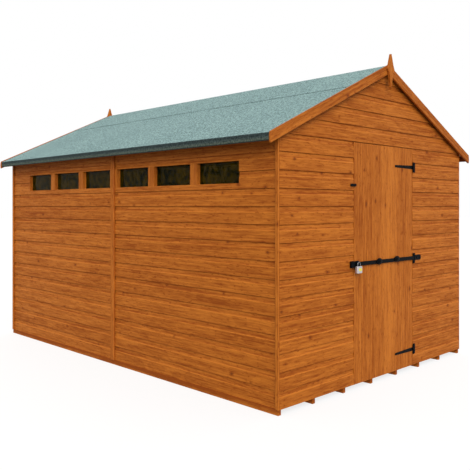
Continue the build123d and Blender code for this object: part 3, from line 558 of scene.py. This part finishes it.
# Corner strips and joint strips: planed softwood nailed over the corners and over the joints of the
# side panels, to keep the weather out.
strip_x = np.array([-1, 1, -1, 1]) * 1.21415
strip_y = np.array([-1, -1, 1, 1]) * 1.826
strip_foot = strip_x[:, None] * X + strip_y[:, None] * Y
joint_foot = strip_x[:2, None] * X
for name, node, foot, width, number, tint in (
    ("corner_trim", "corner_strips", strip_foot, 0.028, 430 + np.arange(4), 1.5),
    ("joint_trim", "panel_joint_strips", joint_foot, 0.050, 440 + np.arange(2), 0.0),
):
    strips = battens(foot + WALL_BOTTOM * Z, foot + 1.79976 * Z, Y, width, 0.0117, number, arris=0.0018)
    # Painted light and shade: the strips' outer edges towards the gables are painted lighter as a highlight,
    # and their corners against the wall darker as shade.
    painted_shade_at_wall = np.abs(strips[0][:, 0]) < 1.2105
    painted_highlight_edge = np.abs(strips[0][:, 1]) > 1.8385
    tint_and_painted_light = tint + 4.0 * painted_highlight_edge - 7.0 * painted_shade_at_wall
    piece(name, "shed", "dipped_timber", [node], tone_shifted(strips, tint_and_painted_light))

# Windows: a pane of clear glass in each opening, set back 33 mm and held from inside by four beads
# with mitred corners. The shed is dark inside; the panes are coloured nearly black, as painted shade.
PANE_X, BEAD_X = -1.1735, -1.16735      # middles of the panes and of the beads


def mottle(tree, scale, detail=2.0, rough=0.5):
    """Noise over the place in the object's own axes."""
    place = shader(tree, "TexCoord").outputs["Object"]
    links = {"Vector": place, "Scale": scale, "Detail": detail, "Roughness": rough}
    return shader(tree, "TexNoise", links).outputs["Fac"]


pane = blank_finish("dark_glass")
smear = rescaled(pane, mottle(pane, 7.0, 3.0), 0.3, 0.7, 0.05, 0.16)
# Painted shade: the panes' near-black, mottled colour stands in for the dim inside seen through clear glass.
painted_interior_shade = rescaled(pane, mottle(pane, 26.0, 3.0), 0.36, 0.64)
painted_interior_shade = blended(pane, painted_interior_shade, (0.002, 0.004, 0.0004, 1), (0.054, 0.033, 0.001, 1))
surface(pane, Base_Color=painted_interior_shade, Roughness=smear, Specular_IOR_Level=0.03, Alpha=0.80)

for place, toward in (("front", -1), ("back", 1)):
    glass, beads = [], []
    for first, last in toward * window_edges:
        y0, y1 = min(first, last) + CLEAR, max(first, last) - CLEAR
        z0, z1 = SILL_TOP, HEAD_UNDER
        middle = PANE_X * X + (z0 + z1) / 2 * Z
        glass.append(battens(middle + y0 * Y, middle + y1 * Y, Z, z1 - z0, 0.003, 0, 0.0004))
        corner = np.array([(BEAD_X, y0, z0), (BEAD_X, y1, z0), (BEAD_X, y1, z1), (BEAD_X, y0, z1)])
        inner = corner + 0.006 * np.array([(0, 1, 1), (0, -1, 1), (0, -1, -1), (0, 1, -1)])
        after = np.roll(inner, -1, 0)
        run = (after - inner) / np.linalg.norm(after - inner, axis=1, keepdims=True)
        inwards = np.cross(X, run)
        mitres = run - inwards, run + inwards
        beads.append(battens(inner, after, inwards, 0.012, 0.0087, 800 + np.arange(4), 0.0006, *mitres))
    piece(f"window_panes_{place}", "shed", "dark_glass", [f"window_glass_{place}"], *glass)
    piece(f"window_stops_{place}", "shed", "dipped_timber", [f"window_beads_{place}"], *beads)

# Roof framing: a truss in the middle of the length, of a tie and two rafters cut to meet at the
# ridge, and between it and the gables a ridge piece and two purlins on each slope. It isn't dipped.
sawn_softwood("roof_timber", (0.62, 0.42, 0.22), (0.44, 0.24, 0.10), (0.20, 0.09, 0.03), 0.70)
tie = [
    (-SIDE_INSIDE, 1.8056), (SIDE_INSIDE, 1.8056), EAVES_CUT,
    (1.055497, 1.8756), (-1.055497, 1.8756), (-SIDE_INSIDE, EAVES_CUT[1]),
]
arm = [(JOINT, 2.3621265), (1.0548568, 1.8759), (0.8876565, 1.8759), (JOINT, 2.2850462)]
tie = shaped_board(tie, -STUD / 2, STUD / 2, 0.001, 820, Z)
arms = slope_pair(arm, -STUD / 2, STUD / 2, 0.001, 822)
piece("truss", "shed", "roof_timber", ["roof_truss"], tie, *arms)

bays = np.array([[-frame_end, -BESIDE_MIDDLE], [BESIDE_MIDDLE, frame_end]])
ridge_rings = np.zeros((2, 2, 5, 3))
ridge_rings[..., 0] = STUD / 2 * np.array([-1, 0, 1, 1, -1])
ridge_rings[..., 1] = bays[..., None]
ridge_rings[..., 2] = 2.3557415, RAFTER_TOP, 2.3557415, 2.2921956, 2.2921956
groups = [lengths(ridge_rings, Z, [830, 831])]
for side in (-1, 1):
    down, out = slope_axes(side)
    for number, distance in ((832, 0.48), (836, 0.96)):
        middle = RAFTER_TOP * Z + distance * down - 0.022 * out
        ends = middle + bays[:, :1] * Y, middle + bays[:, 1:] * Y
        groups.append(battens(*ends, down, STUD, SIDE_DEPTH, number + side + np.array([0, 6]), 0.001))
piece("ridge_and_purlins", "shed", "roof_timber", ["roof_purlins"], *groups)

# Roof boards: planed boards nailed along the slopes over the framing, edge to edge. The eaves boards
# stand along their lower ends and are dipped like the walls.
ROOF_END = 1.8617
for side, place in ((-1, "left"), (1, "right")):
    edge = np.linspace(0.0029, 1.3021, 13)
    middle = (edge[1:] + edge[:-1])[:, None] / 2 * (side * X - SLOPE * Z) + (BOARDS_UNDER + 0.006607) * Z
    down = slope_axes(side)[0]
    width = (edge[1] - edge[0]) / np.cos(PITCH) - 0.0004
    numbers = 850 + 20 * (side > 0) + np.arange(12)
    boards = battens(middle - ROOF_END * Y, middle + ROOF_END * Y, down, width, 0.0119, numbers, 0.0008)
    piece(f"{place}_roof_deck", "shed", "roof_timber", [f"roof_boards_{place}"], boards)

eaves = np.zeros((2, 2, 4, 3))
eaves[..., 0] = np.array([-1, 1])[:, None, None] * np.array([1.3052, 1.3212, 1.3212, 1.3052])
eaves[..., 1] = np.array([-ROOF_END, ROOF_END])[:, None]
eaves[..., 2] = 1.7738, 1.7664, 1.7164, 1.7164
eaves = lengths(eaves, Z, [890, 891])
# Painted shade: the underside of each eaves board is coloured darker.
underside = -9.0 * (eaves[0][:, 2] < 1.72)
piece("eaves_lengths", "shed", "dipped_timber", ["eaves_boards"], tone_shifted(eaves, underside))

# Felt: mineral roofing felt, green-grey granules on bitumen. A sheet covers each slope and is turned
# down over the eaves board, and a ridge sheet laps over both.
FELT_LEVEL = 2.3787623                  # top of the felt where its planes meet at the ridge
FELT_THICKNESS = 0.0025
SKIRT_FACE, SKIRT_BOTTOM = 1.324, 1.7163899


def felt_sheet(name, node, path, fold):
    """A sheet of felt: its top line in x and z is carried from gable to gable, its underside is that
    line moved in by the thickness, square to it, and the top rises and falls by half a millimetre
    in long waves that die out at the edges. Fold tells the finish how far down the turn a point is."""
    ahead = np.gradient(path, axis=0)
    ahead /= np.linalg.norm(ahead, axis=1, keepdims=True)
    out = np.stack([ahead[:, 1], -ahead[:, 0]], -1)
    if out[:, 1].sum() < 0:
        out = -out
    under = path - FELT_THICKNESS * out
    y = np.linspace(-ROOF_END, ROOF_END, 70)
    run = np.linspace(0, 1, len(path))
    wave = np.sin(9 * y[:, None] + 5 * run) * np.cos(14 * run + 3 * y[:, None])
    wave += 0.6 * np.sin(17 * y[:, None] - 11 * run)
    wave *= np.clip(6 * run, 0, 1) * np.clip(6 * (1 - run), 0, 1) * 0.0005
    top = path + wave[..., None] * out
    outline = np.concatenate([top, np.broadcast_to(under[::-1], top.shape)], 1)
    rings = np.zeros((1, len(y), outline.shape[1], 3))
    rings[0, ..., ::2] = outline
    rings[0, ..., 1] = y[:, None]
    points, polygons = skin(outward(rings))
    mesh = bpy.data.meshes.new(name)
    mesh.from_pydata(points, [], [face for polygon in polygons for face in polygon.tolist()])
    share = np.concatenate([fold, fold[::-1]])
    turned_down = mesh.attributes.new("turned_down", "FLOAT", "POINT")
    turned_down.data.foreach_set("value", np.tile(share, len(y)).astype(np.float32))
    put_up(name, mesh, "shed", "felt", [node])


felt = blank_finish("felt")
felt_place = shader(felt, "TexCoord").outputs["Object"]
granules = shader(felt, "TexVoronoi", {"Vector": felt_place, "Scale": 420.0})
speckle = shader(felt, "SeparateColor", {0: granules.outputs["Color"]}).outputs["Red"]
clumps = mottle(felt, 74.0, 2.0, 0.8)
mixed = sums(felt, "MULTIPLY_ADD", clumps, 8.0, speckle)
mixed = sums(felt, "MULTIPLY_ADD", mottle(felt, 1.7, 4.0, 0.6), 0.6, mixed)
even = rescaled(felt, mixed, 4.0, 5.6)
slope_colour = blended(felt, even, (0.088, 0.155, 0.160, 1), (0.305, 0.452, 0.446, 1))
turned_share = shader(felt, "Attribute", attribute_name="turned_down").outputs["Fac"]
# Painted light and shade on the turned-down skirt: its plumb face is coloured dark as painted shade, a paler
# band low down is a painted highlight, and its foot is darkest as a painted shadow line.
fold_ramp = shader(felt, "ValToRGB", {"Fac": turned_share})
ramp = fold_ramp.color_ramp
ramp.elements[0].color = (1, 1, 1, 1)
ramp.elements[1].color = (0.07, 0.06, 0.05, 1)
skirt_light_and_shade = {
    0.08: (0.16, 0.15, 0.155, 1),
    0.30: (0.13, 0.13, 0.13, 1),
    0.48: (0.23, 0.21, 0.20, 1),
    0.80: (0.40, 0.33, 0.26, 1),
    0.92: (0.10, 0.085, 0.07, 1),
}
for at, shade in skirt_light_and_shade.items():
    ramp.elements.new(at).color = shade
felt_colour = blended(felt, 1.0, slope_colour, fold_ramp.outputs["Color"], blend_type="MULTIPLY")
relief = sums(felt, "ADD", granules.outputs["Distance"], clumps)
felt_bump = shader(felt, "Bump", {"Height": relief, "Strength": 0.6, "Distance": 0.0012}).outputs[0]
surface(felt, Base_Color=felt_colour, Roughness=0.93, Normal=felt_bump, Specular_IOR_Level=0.2)


def eaves_path(side):
    """The top line of a slope's sheet: straight down the slope, round the eaves board's arris on a
    radius of 7 mm, then plumb to the bottom of the skirt."""
    bend = 0.007
    centre_x = SKIRT_FACE - bend
    centre_z = FELT_LEVEL - SLOPE * centre_x - bend / np.cos(PITCH)
    slope_x = np.linspace(JOINT, centre_x + bend * np.sin(PITCH), 36)
    slope_line = np.stack([slope_x, FELT_LEVEL - SLOPE * slope_x], -1)
    angle = np.linspace(PITCH, np.pi / 2, 6)[1:]
    arc = np.stack([centre_x + bend * np.sin(angle), centre_z + bend * np.cos(angle)], -1)
    drop = np.linspace(arc[-1, 1], SKIRT_BOTTOM, 8)[1:]
    skirt = np.stack([np.full(7, SKIRT_FACE), drop], -1)
    path = np.concatenate([slope_line, arc, skirt])
    fold = np.concatenate([np.zeros(36), np.linspace(0.0, 0.12, 5), np.linspace(0.2, 1.0, 7)])
    return path * (side, 1), fold


for side, place in ((-1, "left"), (1, "right")):
    felt_sheet(f"{place}_slope_felt", f"felt_{place}", *eaves_path(side))

RIDGE_LEVEL = 2.3818151
cap_reach = 0.543 * np.cos(PITCH)
cap_bend = 0.03
cap_flank = np.linspace(cap_bend, cap_reach, 18)
cap_x = np.concatenate([-cap_flank[::-1], np.linspace(-cap_bend, cap_bend, 9)[1:-1], cap_flank])
cap_drop = np.where(np.abs(cap_x) < cap_bend, (cap_x**2 + cap_bend**2) / (2 * cap_bend), np.abs(cap_x))
cap_path = np.stack([cap_x, RIDGE_LEVEL - SLOPE * cap_drop], -1)
cap_edges = np.zeros(len(cap_x))
# The cap's lower edges are darkened: partly the bitumen of the cut edge, partly painted shade under the lap.
cap_edges[[0, -1]] = 0.02
felt_sheet("ridge_sheet", "felt_ridge", cap_path, cap_edges)

# Bargeboards: a planed board up each slope of each gable, mitred plumb at the peak, its foot sawn
# plumb with a slight bow.
BARGE_TOP, BARGE_DEEP, BARGE_END = 2.3848151, 0.071, 1.333
BARGE_BACK, BARGE_FACE = 1.862, 1.878
bow = np.linspace(-1, 1, 7)
foot_x = BARGE_END - 0.005 * bow**2
foot_z = BARGE_TOP - SLOPE * foot_x - BARGE_DEEP / 2 * (1 + bow)
barge_peak = [[JOINT, BARGE_TOP - BARGE_DEEP], [JOINT, BARGE_TOP]]
barge = np.concatenate([barge_peak, np.stack([foot_x, foot_z], -1)])
for gable, end in (("front", -1), ("back", 1)):
    pair = slope_pair(barge, end * BARGE_BACK, end * BARGE_FACE, 0.0016, 460 + 10 * (end > 0))
    pair = [tone_shifted(board, -1.2) for board in pair]
    piece(f"{gable}_barges", "shed", "dipped_timber", [f"{gable}_bargeboards"], *pair)

# Finials: a spear cut from planed board, its edges eased, planted over the mitre of the bargeboards
# at each end of the roof.
FINIAL_TIP = 2.4608151
spear = np.array([(0.0038, 0.0), (0.030, 0.082), (0.047, 0.117), (0.026, 0.146), (0.004, 0.250)])
spear_side = np.stack([spear[:, 0], FINIAL_TIP - spear[:, 1]], -1)
spear_outline = np.concatenate([spear_side, spear_side[::-1] * (-1, 1)])
for gable, end in (("front", -1), ("back", 1)):
    back, face = end * (BARGE_FACE + CLEAR), end * 1.8963
    board = shaped_board(spear_outline, back, face, 0.0018, 480 + end, X)
    piece(f"{gable}_spear", "shed", "dipped_timber", [f"{gable}_finial"], board)

# Door: upright softwood matchboards, edge to edge with a fine chamfer at each joint, nailed to the
# ledges behind them, and level with the shiplap beside them.
door_edge = np.linspace(-0.4042, 0.4042, 8)
door_x = (door_edge[1:] + door_edge[:-1]) / 2
door_line = door_x[:, None] * X - (GABLE_FACE - BOARD / 2) * Y
width = door_edge[1] - door_edge[0] - 0.0004
numbers = 500 + np.arange(7)
boards = battens(door_line + WALL_BOTTOM * Z, door_line + 1.772 * Z, X, width, BOARD, numbers, 0.0016)
# One joint line between the door's boards is drawn paler.
paler_joint = np.abs(boards[0][:, 0] - door_edge[4]) < 0.002
piece("door_matchboards", "door", "dipped_timber", ["door_boards"], tone_shifted(boards, 2.5 * paler_joint))

# Behind the door boards: three ledges and two braces, nailed through from the front. Each brace
# rises from the hinge edge towards the free edge.
LOWER_HINGE, BAR_MIDDLE, UPPER_HINGE = 0.166, 0.8995, 1.625
LEDGE_END = 0.3822
ledge = (STUD / 2 - END_INSIDE) * Y + np.array([LOWER_HINGE, BAR_MIDDLE, UPPER_HINGE])[:, None] * Z
ledges = battens(ledge - LEDGE_END * X, ledge + LEDGE_END * X, Z, 0.095, STUD, 520 + np.arange(3), 0.0018)
piece("door_cross_ledges", "door", "dipped_timber", ["door_ledges"], ledges)
braces = []
for low, high, number in ((LOWER_HINGE, BAR_MIDDLE, 525), (BAR_MIDDLE, UPPER_HINGE, 526)):
    z0, z1 = low + 0.0478, high - 0.0478
    foot = LEDGE_END - 0.070
    brace = [(LEDGE_END, z0), (foot, z0), (-LEDGE_END, z1), (-foot, z1)]
    slant = LEDGE_END + foot
    level = np.array([z1 - z0, 0, slant]) / np.hypot(z1 - z0, slant)
    braces.append(shaped_board(brace, -END_INSIDE, STUD - END_INSIDE, 0.0018, number, level))
piece("door_slant_braces", "door", "dipped_timber", ["door_braces"], *braces)

# T-hinges: black japanned iron. A plate screwed to the wall carries two knuckles and the pin; the
# strap on the door tapers to a round tip and is held by three dome-headed bolts.
AXIS_X, AXIS_Y = 0.4067, -1.846
IRON_BACK, IRON_FACE = -GABLE_FACE - CLEAR, -1.8430     # of the plates on the wall and the door
iron = blank_finish("black_iron")
dimple = mottle(iron, 240.0)
sheen = rescaled(iron, dimple, 0.3, 0.7, 0.34, 0.52)
dents = shader(iron, "Bump", {"Height": dimple, "Strength": 0.25, "Distance": 0.0004}).outputs[0]
surface(iron, Base_Color=(0.0016, 0.0020, 0.0028, 1), Roughness=sheen, Normal=dents, Specular_IOR_Level=0.035)


def turned(profile, feet, axis, sides=16, wide=1.0):
    """Round solids, one on each foot: rows of profile are (distance along the axis, radius), carried
    round the axis and closed flat at both ends. Wide stretches them sideways into ovals."""
    first, second = (X, Y) if abs(axis[2]) > 0.5 else (X, Z)
    turn = 2 * np.pi * np.arange(sides) / sides
    circle = wide * np.cos(turn)[:, None] * first + np.sin(turn)[:, None] * second
    profile = np.asarray(profile, float)
    rings = profile[:, 0, None, None] * axis + profile[:, 1, None, None] * circle
    points, faces = skin(outward(np.atleast_2d(feet)[:, None, None] + rings))
    return points, faces, points, np.zeros(len(points))


def arc(x, z, radius, first, last, steps=6):
    """Points on an arc about x and z, its angles in degrees."""
    angle = np.radians(np.linspace(first, last, steps))
    return np.stack([x + radius * np.cos(angle), z + radius * np.sin(angle)], -1)


def rounded(x0, x1, z0, z1, radius):
    """The outline of a rectangle with rounded corners."""
    corners = ((x1, z1, 0), (x0, z1, 90), (x0, z0, 180), (x1, z0, 270))
    middle_x, middle_z = (x0 + x1) / 2, (z0 + z1) / 2
    arcs = []
    for x, z, first in corners:
        x -= radius * np.sign(x - middle_x)
        z -= radius * np.sign(z - middle_z)
        arcs.append(arc(x, z, radius, first, first + 90, 5))
    return np.concatenate(arcs)


def dome(radius, height):
    """Profile of a low domed head that stands this high over its foot."""
    angle = np.radians(np.linspace(0, 80, 5))
    return np.stack([height * np.sin(angle) / np.sin(angle[-1]), radius * np.cos(angle)], -1)


def barrel(z0, z1, radius=0.0055):
    """A knuckle round the hinge axis, its ends chamfered."""
    steps = np.array([(0, 0.8), (0.0006, 1.0), (z1 - z0 - 0.0006, 1.0), (z1 - z0, 0.8)]) * (1, radius)
    return turned(steps, (AXIS_X, AXIS_Y, z0), Z)


plates, straps = [], []
for middle in (LOWER_HINGE, 0.8955, UPPER_HINGE):
    flat = rounded(0.4130, 0.4430, middle - 0.041, middle + 0.041, 0.009)
    plates.append(shaped_board(flat, IRON_BACK, IRON_FACE, 0.0005, 540, Z))
    for z0, z1 in ((middle - 0.040, middle - 0.0153), (middle + 0.0153, middle + 0.040)):
        leaf = rounded(AXIS_X, 0.4200, z0, z1, 0.0005)
        plates += [shaped_board(leaf, IRON_BACK, IRON_FACE, 0.0004, 541, Z), barrel(z0, z1)]
    plates.append(barrel(middle - 0.041, middle - 0.040, 0.0036))
    plates.append(barrel(middle + 0.040, middle + 0.041, 0.0036))
    screws = [(0.4320, IRON_FACE, middle + z) for z in (-0.031, -0.012, 0.012, 0.031)]
    plates.append(turned(dome(0.0036, 0.0009), screws, -Y, 12))
piece("wall_hinge_plates", "shed", "black_iron", ["hinge_plates"], *plates)
for middle in (LOWER_HINGE, UPPER_HINGE):
    low, high = middle - 0.0145, middle + 0.0145
    tip = arc(AXIS_X - 0.259, middle, 0.009, 92, 268, 9)
    blade = np.concatenate([[(AXIS_X, high)], tip, [(AXIS_X, low)]])
    straps += [shaped_board(blade, IRON_BACK, IRON_FACE, 0.0006, 544, Z), barrel(low, high)]
    bolts = [(x, IRON_FACE, middle) for x in (0.3760, 0.2760, 0.1560)]
    straps.append(turned(dome(0.0062, 0.0030), bolts, -Y))
piece("door_hinge_straps", "door", "black_iron", ["hinge_straps"], *straps)

# Security bar: a flat iron bar across the door, hung on the pin of the middle hinge. Two oval domed
# rosettes cover its bolts, and round distance pieces behind them hold it off the boards.
BAR_BACK, BAR_FACE = -1.8480, -1.8540
knuckle = 0.8810, 0.9100
flat = rounded(-0.3679, 0.4004, BAR_MIDDLE - 0.0145, BAR_MIDDLE + 0.0145, 0.002)
root = rounded(0.3974, AXIS_X, *knuckle, 0.0005)
bar = [
    shaped_board(flat, BAR_BACK, BAR_FACE, 0.0012, 546, Z),
    shaped_board(root, AXIS_Y, BAR_FACE, 0.0008, 547, Z),
    barrel(*knuckle),
]
piece("lock_bar", "door", "black_iron", ["security_bar"], *bar)
cover = np.array([
    (0.0, 0.0240), (0.0032, 0.0240), (0.0046, 0.0224), (0.0050, 0.0190), (0.0054, 0.0168),
    (0.0075, 0.0158), (0.0100, 0.0136), (0.0120, 0.0104), (0.0134, 0.0060), (0.0140, 0.0018),
])
FREE_BOLT, HINGE_BOLT = -0.101, 0.144
rosette_y = BAR_FACE - CLEAR
rosette_feet = [(FREE_BOLT, rosette_y, BAR_MIDDLE + 0.003), (HINGE_BOLT, rosette_y, BAR_MIDDLE + 0.006)]
rosettes = turned(cover, rosette_feet, -Y, 28, 1.62)
piece("bolt_rosettes", "door", "black_iron", ["bar_rosettes"], rosettes)
spool = [(0, 0.0120), (0.0004, 0.0125), (0.0070, 0.0125), (0.0074, 0.0120)]
spacers = turned(spool, [(x, IRON_BACK, BAR_MIDDLE) for x in (FREE_BOLT, HINGE_BOLT)], -Y, 20)
piece("bolt_spacers", "door", "black_iron", ["bar_spacers"], spacers)

# Wall bracket and keeper: beyond the hinge a rounded iron plate laps over the hinge plate and is
# bolted to the wall, and a keeper plate is screwed to the wall behind the free end of the bar.
BRACKET_FACE = -1.8483
round_end = np.concatenate([arc(0.5107, 0.9065, 0.013, 90, 0), arc(0.5107, 0.8925, 0.013, 0, -90)])
nose, foot = (np.concatenate([round_end, [(x, 0.8795), (x, 0.9195)]]) for x in (0.4237, 0.4433))
bracket = [
    shaped_board(nose, -1.8433, BRACKET_FACE, 0.0012, 550, Z),
    shaped_board(foot, IRON_BACK, -1.8440, 0.0004, 551, Z),
    turned(dome(0.0085, 0.0045), [(x, BRACKET_FACE, BAR_MIDDLE) for x in (0.4620, 0.5030)], -Y, 20),
]
piece("wall_bracket", "shed", "black_iron", ["bar_bracket"], *bracket)
case_height = BAR_MIDDLE - 0.023, BAR_MIDDLE + 0.023
keeper_screws = [(x, IRON_FACE, z) for x in (-0.4485, -0.4165) for z in (0.8835, 0.9155)]
keeper = [
    shaped_board(rounded(-0.4555, -0.4095, *case_height, 0.004), IRON_BACK, IRON_FACE, 0.0005, 552, Z),
    turned(dome(0.0034, 0.0008), keeper_screws, -Y, 12),
]
piece("wall_keeper", "shed", "black_iron", ["bar_keeper"], *keeper)

# Lock box and eye: a closed iron box with rounded corners on the free end of the bar, two rivets in
# its face, and a square post for the padlock.
CASE_FACE = -1.8620
case = [
    shaped_board(rounded(-0.4662, -0.3682, *case_height, 0.004), BAR_BACK, CASE_FACE, 0.0014, 554, Z),
    turned(dome(0.0048, 0.0024), [(-0.4560, CASE_FACE, z) for z in (0.8865, 0.9125)], -Y, 14),
]
piece("lock_case", "door", "black_iron", ["lock_box"], *case)
LOCK_X, LOCK_Y = -0.3922, -1.8723
LOCK_BACK = CASE_FACE - CLEAR
post_outline = rounded(LOCK_X - 0.0045, LOCK_X + 0.0045, 0.8858, 0.9108, 0.002)
post = shaped_board(post_outline, LOCK_BACK, -1.8758, 0.0006, 556, Z)
piece("lock_post", "door", "black_iron", ["lock_eye"], post)

# Padlock: a satin steel body with a brass plate let into its face, and a bright steel shackle that
# passes round the post of the lock box.
satin = blank_finish("lock_body")
along = shader(satin, "TexCoord").outputs["Object"]
along = shader(satin, "VectorMath", {0: along, 1: (60.0, 60.0, 3000.0)}, operation="MULTIPLY").outputs[0]
scratch = shader(satin, "TexNoise", {"Vector": along, "Scale": 1.0, "Detail": 2.0}).outputs["Fac"]
brushed = rescaled(satin, scratch, 0.3, 0.7, 0.30, 0.48)
brass_share = shader(satin, "Attribute", attribute_name="tone").outputs["Fac"]
metal = blended(satin, brass_share, (0.50, 0.47, 0.485, 1), (0.72, 0.66, 0.10, 1))
surface(satin, Base_Color=metal, Roughness=brushed, Metallic=0.55)
block_outline = rounded(LOCK_X - 0.030, LOCK_X + 0.030, 0.8355, 0.8855, 0.006)
brass_outline = rounded(LOCK_X - 0.012, LOCK_X + 0.023, 0.8520, 0.8715, 0.003)
block = shaped_board(block_outline, LOCK_BACK, -1.8820, 0.0022, 558, Z)
brass = shaped_board(brass_outline, -1.8815, -1.8823, 0.0003, 559, Z)
padlock = tone_shifted(block, -block[3]), tone_shifted(brass, 1 - brass[3])
piece("lock_block", "door", "lock_body", ["padlock_body"], *padlock)

bright = blank_finish("lock_steel")
wear = rescaled(bright, mottle(bright, 300.0), 0.0, 1.0, 0.14, 0.30)
surface(bright, Base_Color=(0.17, 0.17, 0.18, 1), Roughness=wear, Metallic=1.0)
SHACKLE = 0.0034            # radius of its rod
crown = arc(LOCK_X, BAR_MIDDLE, 0.016, 180, 0, 13)
bow_line = np.concatenate([[(LOCK_X - 0.016, 0.8858)], crown, [(LOCK_X + 0.016, 0.8858)]])
bow_run = np.gradient(bow_line, axis=0)
bow_run /= np.linalg.norm(bow_run, axis=1, keepdims=True)
turn = 2 * np.pi * np.arange(12) / 12
bow_rings = np.zeros((1, len(bow_line), 12, 3))
bow_rings[0, ..., 0] = bow_line[:, :1] - SHACKLE * bow_run[:, 1:] * np.cos(turn)
bow_rings[0, ..., 1] = LOCK_Y - SHACKLE * np.sin(turn)
bow_rings[0, ..., 2] = bow_line[:, 1:] + SHACKLE * bow_run[:, :1] * np.cos(turn)
bow_points, bow_faces = skin(bow_rings)
shackle = (bow_points, bow_faces, bow_points, np.zeros(len(bow_points)))
piece("lock_shackle", "door", "lock_steel", ["padlock_shackle"], shackle)

# Turn button: a small iron bar with round ends on a boss at the door's free edge, its long end over
# the wall, turned on a dome-headed screw.
BUTTON_X, BUTTON_Z = -0.3942, 1.465
drum = [(0, 0.0080), (0.0050, 0.0080), (0.0057, 0.0074)]
boss = turned(drum, (BUTTON_X, IRON_BACK, BUTTON_Z), -Y, 24)
piece("button_stand", "door", "black_iron", ["button_boss"], boss)
BUTTON_FACE = -1.8503
blade = rounded(-0.4602, -0.3870, BUTTON_Z - 0.0095, BUTTON_Z + 0.0095, 0.0085)
button = [
    shaped_board(blade, -1.8463, BUTTON_FACE, 0.0010, 560, Z),
    turned(dome(0.0055, 0.0022), (BUTTON_X, BUTTON_FACE, BUTTON_Z), -Y, 16),
]
piece("turning_bar", "button", "black_iron", ["turn_button"], *button)

# The plain solids under these pieces take the same finishes.
for part in frame["record"]["subparts"]:
    solid = frame["nodes"][part["node"]]
    solid.data.materials.clear()
    solid.data.materials.append(finishes[part["material_slot"]])
